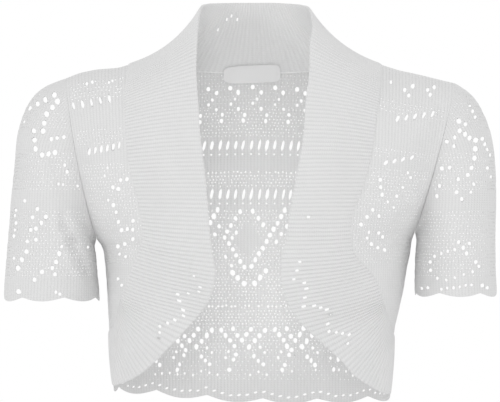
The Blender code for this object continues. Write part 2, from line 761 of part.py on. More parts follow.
def rib_band(name, whole, normals, colour):
    """A ribbed piece: ribs raised in the outer points, over a plain inner skin with fewer points."""
    first, last = SPANS[name]
    grid = whole[first:last].copy()
    normal = normals[first:last]
    rows, columns, _ = grid.shape
    inner = grid - normal * BAND_WALL
    # The seam line and both ends are drawn in by half the seam's gap, and more on the inside.
    across = unit(grid[:, 1] - grid[:, 0])
    ends = ((0, unit(grid[1] - grid[0])), (-1, unit(grid[-2] - grid[-1])))
    for skin, draw in ((grid, SEAM_GAP / 2), (inner, SEAM_GAP / 2 + UNDERCUT)):
        skin[:, 0] += across * draw - normal[:, 0] * SEAM_SINK
        for end, inward in ends:
            skin[end] += inward * draw
    rib = np.zeros(rows)
    rib[1::2] = RIB_HEIGHT
    outer = grid + normal * rib[:, None, None]
    inner_rows = [int(round(i)) for i in np.linspace(0, rows - 1, max(2, rows // INNER_STEP))]
    inner = inner[inner_rows]
    verts = np.concatenate((outer.reshape(-1, 3), inner.reshape(-1, 3)))
    first_inner = rows * columns
    faces = []
    for r in range(rows - 1):
        for c in range(columns - 1):
            a, b = r * columns + c, (r + 1) * columns + c
            faces += [(a, b, b + 1), (a, b + 1, a + 1)]
    for r, (low, high) in enumerate(zip(inner_rows, inner_rows[1:])):
        for c in range(columns - 1):
            a = first_inner + r * columns + c
            b = a + columns
            faces += [(a, b + 1, b), (a, a + 1, b + 1)]
        half = (low + high) // 2
        for c in (0, columns - 1):
            a = first_inner + r * columns + c
            b = a + columns
            strip = [(k * columns + c, a, (k + 1) * columns + c) for k in range(low, half)]
            strip.append((half * columns + c, a, b))
            strip += [(k * columns + c, b, (k + 1) * columns + c) for k in range(half, high)]
            faces += strip if c == 0 else [f[::-1] for f in strip]
    for row, inner_row, turned in ((0, 0, True), (rows - 1, len(inner_rows) - 1, False)):
        for c in range(columns - 1):
            a = row * columns + c
            d = first_inner + inner_row * columns + c
            pair = [(a, d, d + 1), (a, d + 1, a + 1)]
            faces += [f[::-1] for f in pair] if turned else pair
    volume = sum(np.dot(verts[a], np.cross(verts[b], verts[c])) for a, b, c in faces)
    if volume < 0:
        faces = [f[::-1] for f in faces]
    make_object(name, verts, faces, colour)
    print(f"{name}: {(rows - 1) // 2} ribs, {len(faces)} triangles")


def band_seam(side):
    """The band's seam on a front panel, from the side seam up, as distance along a row and drop."""
    first, last = SPANS["band_" + side]
    picked = list(range(first, last))
    picked = picked if side == "left" else picked[::-1]
    picked = picked[::PANEL_STEP] + ([picked[-1]] if (len(picked) - 1) % PANEL_STEP else [])
    return [
        (abs(float(SEAM_VALUES["along"][i])), float(SEAM_VALUES["root"][i]) ** 2) for i in picked
    ]


def neck_seam():
    """The collar's seam on the back panel, from left to right."""
    first, last = SPANS["band_back"]
    picked = list(range(first, last, PANEL_STEP))
    picked += [last - 1] if picked[-1] != last - 1 else []
    return [(float(SEAM_VALUES["along"][i]), float(SEAM_VALUES["root"][i]) ** 2) for i in picked]


def eyelet(u, v, size):
    return (u, v, size, size, 0, EYELET_CORNERS)


def diamonds(chart, top=0.0):
    """Rings of eyelets set as diamonds, one for each row of a chart."""
    holes = []
    for middle, level, half_width, half_height, per_side, size in zip(*chart.values()):
        for i in range(4 * int(per_side)):
            side, part = divmod(i / per_side, 1)
            x = (1 - part, -part, part - 1, part)[int(side)]
            y = (part, 1 - part, -part, part - 1)[int(side)]
            holes.append(eyelet(middle + x * half_width, top + level + y * half_height, size))
    return holes


def crosses():
    """X figures of eyelets, repeated across the back."""
    holes = []
    for middle in CROSS_MIDDLES:
        holes.append(eyelet(middle, CROSS_LEVEL, LARGE_EYELET))
        for i in range(1, CROSS_STEPS + 1):
            across, down = (half * i / CROSS_STEPS for half in CROSS_HALF)
            for sx in (-1, 1):
                for sy in (-1, 1):
                    holes.append(eyelet(middle + sx * across, CROSS_LEVEL + sy * down, LARGE_EYELET))
    return holes


def ladders(chart):
    """Rows of tall leaning slits side by side. tilt lowers a row along its length."""
    holes = []
    for first, last, level, pitch, tilt in zip(*chart.values()):
        for i in range(int((last - first) / pitch) + 1):
            place = first + i * pitch, level + tilt * i * pitch
            holes.append((*place, SLIT_WIDTH, SLIT_HEIGHT, SLIT_LEAN, SLIT_CORNERS))
    return holes


def front_panel(side):
    """A lace front, from the shoulder seam down to a point between the band and the side seam."""
    sign = SIDES[side]["sign"]
    cloth = CLOTHS[side]
    seam_flat = band_seam(side)
    bottom = seam_flat[0][1]
    arm = armhole_levels(side, "front", "drop")
    inner_top = seam_flat[-1][0]
    outer_top = cloth.edge(0.0, "end")
    outline = [(u, 0.0) for u in steps_between(inner_top, outer_top)[:-1]]
    outline += [(cloth.edge(d, "end"), d) for d in arm]
    outline += [(cloth.edge(d, "end"), d) for d in steps_between(arm[-1], bottom)[1:]]
    outline += seam_flat[1:-1]
    holes = ladders(LADDERS[side]) + diamonds(DIAMONDS[side])
    return lace_panel("front_" + side, cloth, "front", outline, holes, (sign * 0.3, -1, 0.2), WHITE)


def back_panel():
    """The lace back, from the shoulder seams and neckline down to the scalloped hem."""
    cloth = CLOTHS["back"]
    outline = []
    left_arm = armhole_levels("left", "back", "drop")
    right_arm = armhole_levels("right", "back", "drop")
    corner_left, corner_right = (
        hem_drop(cloth.edge(drop, which)) for which, drop in SIDE_SEAM_DROPS.items()
    )
    outline += [(cloth.edge(d, "start"), d) for d in steps_between(corner_left, left_arm[-1])[:-1]]
    outline += [(cloth.edge(d, "start"), d) for d in reversed(left_arm)]
    neck = neck_seam()
    outline += [(u, 0.0) for u in steps_between(cloth.edge(0.0, "start"), neck[0][0])[1:-1]]
    outline += neck
    outline += [(u, 0.0) for u in steps_between(neck[-1][0], cloth.edge(0.0, "end"))[1:-1]]
    outline += [(cloth.edge(d, "end"), d) for d in right_arm]
    outline += [(cloth.edge(d, "end"), d) for d in steps_between(right_arm[-1], corner_right)[1:]]
    first, last = cloth.edge(corner_right, "end"), cloth.edge(corner_left, "start")
    outline += [(u, hem_drop(u)) for u in steps_between(first, last, HEM_STEP)[1:-1]]
    holes = ladders(LADDERS["back"]) + crosses() + diamonds(DIAMONDS["back"])
    return lace_panel("back_panel", cloth, "back", outline, holes, (0, 1, 0.2), WHITE)


def sleeve_half(side, face):
    """Half a sleeve as its own solid, split from the other along the outer and inner lines."""
    cloth = sleeve_cloth(side, face)
    arm = armhole_levels(side, face, "level")
    inner = cloth.edge(SLEEVE_HEM[side], "end")
    corner = sleeve_hem_level(side, inner)
    top = arm[0] + CAP_CUT
    outline = [(0.0, top)]
    outline += [(cloth.edge(v, "end"), v) for v in [top] + arm[1:]]
    outline += [(cloth.edge(v, "end"), v) for v in steps_between(arm[-1], corner)[1:]]
    for u in steps_between(inner, 0.0, SLEEVE_HEM_STEP)[1:]:
        outline.append((u, sleeve_hem_level(side, u)))
    outline += [(0.0, v) for v in steps_between(outline[-1][1], top)[1:-1]]
    holes = diamonds(SLEEVE_DIAMONDS[side], top)
    outward = (SIDES[side]["sign"] * 0.2, FACES[face], 0.2)
    return lace_panel(f"sleeve_{side}_{face}", cloth, face, outline, holes, outward, WHITE)


def neck_label():
    """A plain label hung upright from the collar seam, following the curve of the neck."""
    xs = np.linspace(-LABEL_HALF_WIDTH, LABEL_HALF_WIDTH, LABEL_COLUMNS) + LABEL_CENTRE
    lip = BAND_WALL + SEAM_SINK + LABEL_CLEARANCE
    first, last = SPANS["band_back"]
    seam = SEAM_LINE[first:last]
    y = np.interp(xs, seam[:, 0], seam[:, 1]) - lip
    grid = np.array([np.stack((xs, y, z + xs * LABEL_TILT), axis=1) for z in LABEL_LEVELS])
    front = grid - np.array([0, LABEL_WALL, 0])
    columns = len(xs)
    faces = []
    for r in range(len(LABEL_LEVELS) - 1):
        for c in range(columns - 1):
            a, b = r * columns + c, r * columns + c + 1
            d, e = a + columns, b + columns
            faces += [(a, b, e), (a, e, d)]
    verts, solid = wall_from(grid.reshape(-1, 3), front.reshape(-1, 3), faces)
    make_object("neck_label", verts, solid, LABEL_WHITE)


def main():
    for old in list(bpy.data.objects):
        bpy.data.objects.remove(old, do_unlink=True)
    openings = back_panel()
    for side in SIDES:
        openings += front_panel(side)
        for face in FACES:
            openings += sleeve_half(side, face)
    whole, normals = band_grid()
    for name in BAND_PIECES:
        rib_band(name, whole, normals, WHITE)
    neck_label()
    print(f"openings cut in the lace: {openings}")


main()
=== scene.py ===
# %% [markdown]
# # A lace knit shrug
# A shrug is a very short open cardigan. This one is knitted in lace, with a wide ribbed band sewn
# round the fronts and the neck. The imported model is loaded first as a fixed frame. Every piece made
# here is laid on the same curved forms as the solids in that frame, so it fits them with no moving.

# %% Load the frame
import math

import bpy
import numpy as np
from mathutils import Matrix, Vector
from mathutils.geometry import delaunay_2d_cdt
from mathutils.kdtree import KDTree


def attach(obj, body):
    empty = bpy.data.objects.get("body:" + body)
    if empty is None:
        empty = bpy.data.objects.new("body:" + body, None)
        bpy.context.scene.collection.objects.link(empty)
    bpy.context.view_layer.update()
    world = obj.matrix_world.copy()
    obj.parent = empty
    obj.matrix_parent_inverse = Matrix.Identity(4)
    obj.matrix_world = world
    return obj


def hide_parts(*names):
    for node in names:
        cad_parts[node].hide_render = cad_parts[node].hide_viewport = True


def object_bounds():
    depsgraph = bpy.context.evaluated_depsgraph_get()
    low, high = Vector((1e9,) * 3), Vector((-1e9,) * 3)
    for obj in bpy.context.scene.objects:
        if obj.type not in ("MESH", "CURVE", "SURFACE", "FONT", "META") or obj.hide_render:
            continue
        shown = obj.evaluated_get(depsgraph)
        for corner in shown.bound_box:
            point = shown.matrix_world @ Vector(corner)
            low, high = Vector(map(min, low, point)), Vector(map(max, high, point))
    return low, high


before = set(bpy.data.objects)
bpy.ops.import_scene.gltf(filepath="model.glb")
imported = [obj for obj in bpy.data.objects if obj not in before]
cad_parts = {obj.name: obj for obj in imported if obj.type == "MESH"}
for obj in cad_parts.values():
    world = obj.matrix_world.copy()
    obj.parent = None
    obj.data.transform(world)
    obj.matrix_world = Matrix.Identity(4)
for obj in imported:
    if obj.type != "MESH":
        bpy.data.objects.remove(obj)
cad_low, cad_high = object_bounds()
MM = 0.001
print("nodes:", sorted(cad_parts))

# %% [markdown]
# ## The studio
# White cloth on white needs a room that is bright all round, with a little more light from one side,
# so that ribs and folds still show. A plain pale floor lies under the garment, which hangs in the air
# as it does on a wearer. The camera is level, far off and has a long lens, as in a catalogue picture,
# so the two sides keep their true proportions.

# %% Floor
FLOOR_DROP = 0.11
FLOOR_RADIUS = 2.6
FLOOR_WHITE = (0.93, 0.93, 0.93)


def plain_finish(name, colour, roughness):
    """A node material with one even colour."""
    finish = bpy.data.materials.new(name)
    finish.use_nodes = True
    shader = finish.node_tree.nodes["Principled BSDF"]
    shader.inputs["Base Color"].default_value = (*colour, 1.0)
    shader.inputs["Roughness"].default_value = roughness
    return finish


bpy.ops.mesh.primitive_circle_add(
    vertices=96, radius=FLOOR_RADIUS, fill_type="NGON", location=(0, 0, cad_low[2] - FLOOR_DROP)
)
floor = bpy.context.object
floor.name = "studio_floor"
floor.data.materials.append(plain_finish("studio_floor_paint", FLOOR_WHITE, 0.8))
print(f"floor {FLOOR_DROP * 1000:.0f} mm under the hem")

# %% Light
ROOM_LIGHT = 0.76
BACKDROP = 1.0
MIDDLE = (0, 0, -0.13)
# Each lamp's name, its place, what it shines at, its width and height in metres, and its watts.
LAMPS = (
    ("front_panel", (-0.3, -3.2, 0.2), MIDDLE, 1.0, 1.0, 11.5),
    ("left_panel", (-2.7, -1.9, 0.7), MIDDLE, 1.0, 1.0, 11.0),
    ("right_panel", (2.8, -1.5, 0.3), MIDDLE, 1.0, 1.0, 8.5),
    ("rear_panel", (0.9, 3.0, 0.9), MIDDLE, 1.2, 1.2, 9.0),
    ("inner_glow", (0, -0.03, -0.165), (0, 1, -0.165), 0.1, 0.24, 0.078),
)
room = bpy.data.worlds.new("studio_room")
room.use_nodes = True
sky = room.node_tree.nodes["Background"]
sky.inputs["Color"].default_value = (1.0, 1.0, 1.0, 1.0)
seen = room.node_tree.nodes.new("ShaderNodeLightPath")
brightness = room.node_tree.nodes.new("ShaderNodeMapRange")
brightness.inputs["To Min"].default_value = ROOM_LIGHT
brightness.inputs["To Max"].default_value = BACKDROP
room.node_tree.links.new(seen.outputs["Is Camera Ray"], brightness.inputs["Value"])
room.node_tree.links.new(brightness.outputs["Result"], sky.inputs["Strength"])
bpy.context.scene.world = room
bpy.context.scene.view_settings.view_transform = "Standard"
for lamp_name, place, target, width, tall, power in LAMPS:
    lamp = bpy.data.objects.new(lamp_name, bpy.data.lights.new(lamp_name, "AREA"))
    lamp.data.shape = "RECTANGLE"
    lamp.data.size = width
    lamp.data.size_y = tall
    lamp.data.energy = power
    lamp.location = place
    lamp.rotation_euler = (Vector(target) - Vector(place)).to_track_quat("-Z", "Y").to_euler()
    lamp.visible_camera = False
    bpy.context.scene.collection.objects.link(lamp)
print("lamps:", [row[0] for row in LAMPS])

# %% Camera
VIEW_WIDTH = 0.5
CAMERA_DISTANCE = 10.0
CAMERA_X = -0.004
CAMERA_Z = -0.135
SENSOR_MM = 36.0
FARTHEST_SEEN = 40
camera = bpy.data.objects.new("camera", bpy.data.cameras.new("camera"))
camera.location = (CAMERA_X, -CAMERA_DISTANCE, CAMERA_Z)
camera.rotation_euler = (math.pi / 2, 0, 0)
camera.data.sensor_width = SENSOR_MM
camera.data.lens = SENSOR_MM * CAMERA_DISTANCE / VIEW_WIDTH
camera.data.clip_end = FARTHEST_SEEN
bpy.context.scene.collection.objects.link(camera)
bpy.context.scene.camera = camera
print(f"lens: {camera.data.lens:.0f} mm at {CAMERA_DISTANCE:.0f} m")

# %% [markdown]
# ## Sizes in tables
# A knitter's pattern gives a garment by its sizes at a few rows, and says to shape evenly between
# them. The tables here do the same: each has named columns and a row for each section, in
# millimetres. A smooth curve through the rows gives every size in between.

# %% Tables and curves


def sections(columns, *rows):
    """A table: sections("a b", (1, 2), (3, 4))["a"] is its first column."""
    return dict(zip(columns.split(), np.array(rows, dtype=float).T))


def strokes(*rows):
    """A table of straight strokes of eyelets."""
    return sections("from_x from_y to_x to_y count size", *rows)


def spline(keys, values, at):
    """A smooth curve through a table's rows, read at one or more keys."""
    keys = np.asarray(keys, float)
    values = np.asarray(values, float)
    slopes = np.gradient(values, keys)
    at = np.clip(at, keys[0], keys[-1])
    row = np.clip(np.searchsorted(keys, at, side="right") - 1, 0, len(keys) - 2)
    step = keys[row + 1] - keys[row]
    t = (at - keys[row]) / step
    start = (1 + 2 * t) * (1 - t) ** 2 * values[row] + t * (1 - t) ** 2 * step * slopes[row]
    end = t * t * (3 - 2 * t) * values[row + 1] + t * t * (t - 1) * step * slopes[row + 1]
    return start + end

# %% [markdown]
# ## The shoulder line and the body
# Everything hangs from the shoulders, so a place on the body is given by how far it drops below the
# shoulder line. The body is nearly an oval at each drop: a depth in the middle, front and back, and
# a half width at each side. Above the underarm the side is the armhole, where the sleeve is sewn on.

# %% Body sizes
LEVEL_DROP = 160.0
SHOULDER_ROUND = 90.0
SHOULDER = sections(
    "across height",
    (-188, -12), (-174, -6.5), (-158, -3.2), (-136, -1.5), (-124, 2), (-100, 5), (-60, 9), (0, 12),
    (60, 9), (100, 5), (126, 2), (137, -1.5), (146, -4.2), (166, -8.5), (186, -13.5), (201, -17),
)
DEPTH = sections(
    "drop front back",
    (0, 72, 84), (25, 84, 91), (50, 92, 97), (90, 104, 103), (130, 112, 104), (170, 116, 101),
    (210, 112, 97), (250, 104, 93), (300, 97, 90), (350, 94, 89),
)
WIDTH_LEFT = sections(
    "drop width",
    (174.5, 157), (179, 152.6), (187, 150.4), (206, 148.2), (231, 146.6), (254, 145.4),
    (274, 144.4), (304, 141.6), (350, 140),
)
WIDTH_RIGHT = sections(
    "drop width",
    (167.5, 160.5), (173, 158), (184, 156.6), (204, 152.6), (224, 149.4), (244, 145),
    (264, 140.6), (294, 138.6), (350, 135.6),
)


def shoulder_height(x):
    """Level of the shoulder line."""
    return np.interp(x, SHOULDER["across"], SHOULDER["height"])


def height(x, drop):
    """Level of a point by its drop below the shoulder line. Rows sag level lower down."""
    return -drop + shoulder_height(x) * np.maximum(0.0, 1 - drop / LEVEL_DROP)


def drop_of(x, z):
    """The drop of a point, the other way round."""
    line = shoulder_height(x)
    near = (line - z) / (1 + line / LEVEL_DROP)
    return np.where(near < LEVEL_DROP, near, -z)


print("rows are level from a drop of", LEVEL_DROP, "mm")

# %% [markdown]
# ## The sleeves
# A set-in sleeve is a tube. Each row of these tables is a ring round it, from the armhole to just
# past the hem, given by its outer point, its inner point at the underarm side, and how far it bulges
# forward and back. The first ring is also the armhole, so body and sleeve meet on one line.

# %% Sleeve rings
SLEEVE_LEFT = sections(
    "outer_x outer_z inner_x inner_z front back bow",
    (-188, -12, -157, -174.5, 50, 52, 4),
    (-211, -22, -159.6, -177.5, 55, 56, 3),
    (-226, -38, -159, -182, 57, 58, 2),
    (-236, -66, -158, -188, 58, 58, 1),
    (-239.6, -100, -157.2, -196, 57, 57, 0),
    (-243, -134, -156.4, -205, 55, 55, 0),
    (-246, -172, -155.6, -214, 53, 53, 0),
    (-249, -208, -154.6, -223, 52, 52, 0),
    (-250.6, -240, -154, -240, 52, 52, 0),
)
SLEEVE_RIGHT = sections(
    "outer_x outer_z inner_x inner_z front back bow",
    (201, -17, 160.5, -167.5, 50, 52, 2),
    (218, -29, 162, -171, 55, 56, 2),
    (229, -46, 162, -176, 57, 58, 1),
    (237, -68, 161.6, -183, 58, 58, 1),
    (241.4, -98, 161, -192, 57, 57, 0),
    (242.2, -134, 160.6, -201, 55, 55, 0),
    (241.6, -172, 160.4, -210, 53, 53, 0),
    (242, -206, 160.4, -220, 52, 52, 0),
    (243.6, -238, 161, -236, 52, 52, 0),
)
SIDES = {
    "left": {"sign": -1, "width": WIDTH_LEFT, "sleeve": SLEEVE_LEFT},
    "right": {"sign": 1, "width": WIDTH_RIGHT, "sleeve": SLEEVE_RIGHT},
}
FACES = {"front": -1, "back": 1}


def sleeve_point(table, ring, turn):
    """A point of a sleeve: ring counts the table's rows, turn is 0 outside, pi inside, + in front."""
    rows = np.arange(len(table["front"]))
    value = {name: spline(rows, column, ring) for name, column in table.items()}
    along = (1 - np.cos(turn)) / 2
    reach_x = value["inner_x"] - value["outer_x"]
    reach_z = value["inner_z"] - value["outer_z"]
    reach = np.hypot(reach_x, reach_z)
    bow = value["bow"] * 4 * along * (1 - along)
    x = value["outer_x"] + reach_x * along + np.sign(reach_x) * bow * reach_z / reach
    z = value["outer_z"] + reach_z * along - bow * np.abs(reach_x) / reach
    depth = np.where(turn > 0, value["front"], value["back"])
    return x, -depth * np.sin(turn), z


print("rings in each sleeve:", [len(SIDES[side]["sleeve"]["front"]) for side in SIDES])

# %% [markdown]
# Above the underarm the body ends at the armhole, so its edge there is read from the sleeve's first
# ring. Below the underarm the half widths of the table take over, and both join on one line.

# %% Body form
ARMHOLE_POINTS = 181


def armhole(side, face):
    """Half an armhole, from the shoulder to the underarm: its drops, widths and depths."""
    turns = np.linspace(0, math.pi, ARMHOLE_POINTS) * -FACES[face]
    x, y, z = sleeve_point(SIDES[side]["sleeve"], 0.0, turns)
    return drop_of(x, z), np.abs(x), np.abs(y)


ARMHOLES = {(side, face): armhole(side, face) for side in SIDES for face in FACES}


def body_section(side, face, drop):
    """Middle depth, edge half width and edge depth of the body of the garment at a drop."""
    drops, widths, depths = ARMHOLES[side, face]
    table = SIDES[side]["width"]
    above = drop < drops[-1]
    width = np.where(above, np.interp(drop, drops, widths), spline(table["drop"], table["width"], drop))
    edge = np.where(above, np.interp(drop, drops, depths), 0.0)
    rounding = np.sqrt(1 - (1 - np.clip(drop / SHOULDER_ROUND, 0, 1)) ** 2)
    middle = spline(DEPTH["drop"], DEPTH[face], drop) * rounding
    return middle, width, edge


def body_point(side, face, x, drop):
    """Points across the body of the garment, x from the middle, at a drop below the shoulder line."""
    middle, width, edge = body_section(side, face, drop)
    part = np.clip(np.abs(x) / width, 0, 1)
    depth = np.sqrt(np.maximum(middle**2 - part**2 * (middle**2 - edge**2), 0))
    return np.stack((x, FACES[face] * depth, height(x, drop)), axis=1)


for face in FACES:
    print(face, "armhole drop:", [round(float(ARMHOLES[side, face][0][-1])) for side in SIDES])

# %% [markdown]
# ## A cloth and its flat coordinates
# Knitting is charted flat, on squared paper, and then worn curved. A Cloth does that change: u counts
# millimetres along a row of stitches and v is the level of the row. Lace holes, hems and seams can
# then be drawn flat, and the Cloth says where each point lies on the body.

# %% The Cloth
HALF_ROW_POINTS = 121
BODY_ROWS = 190
LOWEST_DROP = 349.0
BUST_DROP = 130.0
NORMAL_STEP = 1.2


def lengths(points):
    """Distance along a line of points, from the first to each."""
    steps = np.linalg.norm(np.diff(points, axis=0), axis=1)
    return np.concatenate(([0.0], np.cumsum(steps)))


def spread(points, count):
    """The same line with its points evenly spaced, and its length."""
    along = lengths(points)
    even = np.linspace(0, along[-1], count)
    return np.stack([np.interp(even, along, points[:, i]) for i in range(3)], axis=1), along[-1]


class Cloth:
    """A curved panel. A point is found by its distance along a row of knitting and its level."""

    def __init__(self, levels, rows, starts, ends):
        self.levels = np.asarray(levels, float)
        self.rows = np.asarray(rows, float)
        self.starts = np.asarray(starts, float)
        self.ends = np.asarray(ends, float)

    def edge(self, level, which):
        """The u of the start or the end of a row."""
        return float(np.interp(level, self.levels, self.starts if which == "start" else self.ends))

    def point(self, u, v):
        """Where a flat point lies in the air."""
        levels = self.levels
        v = np.clip(v, levels[0], levels[-1])
        row = np.clip(np.searchsorted(levels, v, side="right") - 1, 0, len(levels) - 2)
        part = ((v - levels[row]) / (levels[row + 1] - levels[row]))[..., None]
        start = np.interp(v, levels, self.starts)
        end = np.interp(v, levels, self.ends)
        last = self.rows.shape[1] - 1
        column = np.clip((u - start) / np.maximum(end - start, 1e-6), 0, 1) * last
        left = np.clip(column.astype(int), 0, last - 1)
        beside = (column - left)[..., None]
        above = self.rows[row, left] * (1 - beside) + self.rows[row, left + 1] * beside
        below = self.rows[row + 1, left] * (1 - beside) + self.rows[row + 1, left + 1] * beside
        return above * (1 - part) + below * part

    def frame(self, u, v):
        """Points and unit normals."""
        short = np.minimum(NORMAL_STEP, 0.02 + 0.5 * np.maximum(v - self.levels[0], 0))
        along = self.point(u + NORMAL_STEP, v) - self.point(u - NORMAL_STEP, v)
        down = self.point(u, v + short) - self.point(u, v - short)
        normal = np.cross(along, down)
        normal /= np.maximum(np.linalg.norm(normal, axis=-1, keepdims=True), 1e-9)
        return self.point(u, v), normal

    def across_at(self, x, level, first=None, last=None):
        """The u of the point of a row that lies x from the garment's middle, seen from the front."""
        start = self.edge(level, "start") if first is None else first
        end = self.edge(level, "end") if last is None else last
        u = np.linspace(start, end, 160)
        found = self.point(u, np.full_like(u, level))[:, 0]
        order = np.argsort(found)
        return float(np.interp(x, found[order], u[order]))


def body_half(side, face, drop):
    """Half a row round the body, from the middle to the side, and its length."""
    turns = np.linspace(0, math.pi / 2, 161)
    _, width, _ = body_section(side, face, drop)
    x = SIDES[side]["sign"] * width * np.sin(turns)
    return spread(body_point(side, face, x, np.full_like(x, drop)), HALF_ROW_POINTS)


def front_cloth(side, levels):
    """A front, from the middle of the body to its side."""
    halves = [body_half(side, "front", drop) for drop in levels]
    return Cloth(levels, [h[0] for h in halves], np.zeros(len(levels)), [h[1] for h in halves])


def back_cloth(levels):
    """The whole back, from side to side."""
    left = [body_half("left", "back", drop) for drop in levels]
    right = [body_half("right", "back", drop) for drop in levels]
    halves = [np.concatenate((a[0][::-1], b[0][1:])) for a, b in zip(left, right)]
    rows = [spread(row, 2 * HALF_ROW_POINTS - 1)[0] for row in halves]
    return Cloth(levels, rows, [-a[1] for a in left], [b[1] for b in right])


BODY_LEVELS = np.linspace(0, math.sqrt(LOWEST_DROP), BODY_ROWS) ** 2
CLOTHS = {side: front_cloth(side, BODY_LEVELS) for side in SIDES}
CLOTHS["back"] = back_cloth(BODY_LEVELS)
bust = sum(cloth.edge(BUST_DROP, "end") - cloth.edge(BUST_DROP, "start") for cloth in CLOTHS.values())
print(f"row round the bust: {bust:.0f} mm")

# %% [markdown]
# A sleeve is one piece of knitting, closed by a seam under the arm. Its middle line runs down the
# outside of the arm, so u is nought there, more than nought in front and less than nought behind.

# %% Sleeve cloth
SLEEVE_HALF_POINTS = 91
SLEEVE_ROWS = 150
SLEEVE_LINES = 121
SLEEVE_MEASURED_AT = 200.0


def sleeve_half_rows(side, face, levels):
    """Rows from the outer line to the armhole seam and, lower down, to the underarm seam."""
    table = SIDES[side]["sleeve"]
    sense = -FACES[face]
    rings = np.linspace(0, len(table["front"]) - 1, SLEEVE_LINES)
    turns = np.linspace(0, math.pi, SLEEVE_LINES)
    grid = [sleeve_point(table, rings, np.full_like(rings, turn * sense)) for turn in turns]
    cap_levels = np.array([-z[0] for _, _, z in grid])
    halves = []
    for level in levels:
        last_turn = float(np.interp(level, cap_levels, turns))
        line = [
            (np.interp(level, -z, x), np.interp(level, -z, y), -level)
            for turn, (x, y, z) in zip(turns, grid) if turn < last_turn
        ]
        if level < cap_levels[-1]:
            x, y, _ = sleeve_point(table, 0.0, last_turn * sense)
            line.append((float(x), float(y), -level))
        else:
            x, y, z = grid[-1]
            line.append((np.interp(level, -z, x), np.interp(level, -z, y), -level))
        line = line * 2 if len(line) == 1 else line
        halves.append(spread(np.array(line), SLEEVE_HALF_POINTS))
    return halves


def sleeve_cloth(side):
    """A whole sleeve, opened flat along its underarm seam."""
    table = SIDES[side]["sleeve"]
    top = -table["outer_z"][0]
    bottom = min(-table["outer_z"][-1], -table["inner_z"][-1])
    levels = top + np.linspace(0, math.sqrt(bottom - top), SLEEVE_ROWS) ** 2
    front = sleeve_half_rows(side, "front", levels)
    back = sleeve_half_rows(side, "back", levels)
    rows = [np.concatenate((b[0][::-1], f[0][1:])) for b, f in zip(back, front)]
    return Cloth(levels, rows, [-b[1] for b in back], [f[1] for f in front])


SLEEVE_CLOTHS = {side: sleeve_cloth(side) for side in SIDES}
for side, cloth in SLEEVE_CLOTHS.items():
    around = cloth.edge(SLEEVE_MEASURED_AT, "end") - cloth.edge(SLEEVE_MEASURED_AT, "start")
    print(f"row round the {side} sleeve: {around:.0f} mm")

# %% [markdown]
# ## Folds
# Knitting as fine as this falls in long soft folds, not in creases. Each row of these tables is one
# fold as seen from its own side of the garment: the line it follows, its half width, and how far it
# stands out, or sinks in below nought. The cloth is pushed forward or back by all of them together,
# so a fold runs on over a seam from one piece to the next.

# %% Fold tables
FRONT_FOLDS = sections(
    "from_x from_z to_x to_z width stand",
    (-190, -150, -181, -176, 5, -3.4),
    (-181, -176, -167, -205, 5, -4.2),
    (-197, -160, -182, -196, 7, 2.6),
    (-176, -190, -170, -222, 6, 1.8),
    (-204, -60, -188, -128, 11, -2.4),
    (-214, -96, -206, -168, 12, 2.0),
    (-226, -150, -228, -212, 9, -1.6),
    (-150, -34, -132, -110, 10, -2.2),
    (-166, -70, -152, -150, 8, 1.8),
    (-128, -120, -132, -190, 11, 2.2),
    (-140, -190, -130, -296, 9, -2.8),
    (-88, -180, -96, -270, 16, 2.4),
    (186, -44, 163, -124, 6, -3.0),
    (178, -52, 152, -140, 5, 1.8),
    (172, -70, 149, -150, 5, -2.0),
    (198, -62, 178, -140, 8, 2.4),
    (160, -124, 158, -168, 6, 2.0),
    (168, -150, 176, -212, 7, -2.6),
    (190, -150, 204, -216, 11, 2.0),
    (150, -186, 138, -270, 7, -3.0),
    (136, -150, 128, -240, 10, 2.0),
    (84, -180, 94, -262, 15, 2.2),
)
BACK_FOLDS = sections(
    "from_x from_z to_x to_z width stand",
    (-128, -34, -84, -150, 13, -3.4),
    (-104, -30, -58, -130, 12, 2.4),
    (-60, -190, -78, -318, 15, 2.8),
    (-108, -170, -118, -300, 12, -2.8),
    (-10, -70, 4, -170, 18, -1.8),
    (24, -210, 34, -330, 15, -2.6),
    (122, -40, 82, -146, 12, -3.2),
    (100, -26, 56, -120, 12, 2.2),
    (86, -170, 96, -322, 14, 2.8),
    (126, -160, 122, -300, 11, -2.4),
    (-196, -60, -180, -130, 9, -2.6),
    (-190, -150, -170, -206, 7, -3.4),
    (-214, -90, -220, -190, 12, 2.0),
    (190, -60, 172, -132, 9, -2.8),
    (176, -150, 190, -212, 8, -3.0),
    (210, -90, 214, -190, 12, 2.0),
)
FOLD_FADE = 24.0


def fold_height(folds, x, z):
    """How far all the folds together stand out at points seen from their side."""
    total = np.zeros_like(x)
    for from_x, from_z, to_x, to_z, width, stand in zip(*folds.values()):
        span_x, span_z = to_x - from_x, to_z - from_z
        along = ((x - from_x) * span_x + (z - from_z) * span_z) / (span_x**2 + span_z**2)
        near = np.clip(along, 0, 1)
        away = np.hypot(x - from_x - near * span_x, z - from_z - near * span_z)
        total += stand * np.exp(-((away / width) ** 2))
    return total


def folded(points):
    """Points pushed forward or back by the folds. The push fades out at the sides."""
    x, y, z = points[..., 0], points[..., 1], points[..., 2]
    fade = np.clip(np.abs(y) / FOLD_FADE, 0, 1)
    fade = fade * fade * (3 - 2 * fade)
    push = np.where(y < 0, -fold_height(FRONT_FOLDS, x, z), fold_height(BACK_FOLDS, x, z))
    moved = points.copy()
    moved[..., 1] += push * fade
    return moved


print("folds:", len(FRONT_FOLDS["stand"]), "in front,", len(BACK_FOLDS["stand"]), "behind")

# %% [markdown]
# ## Hems
# A scalloped hem comes by itself from lace that spreads and gathers the stitches by turns. The cusps
# are where the stitches are gathered, and the cloth hangs lower between two cusps.

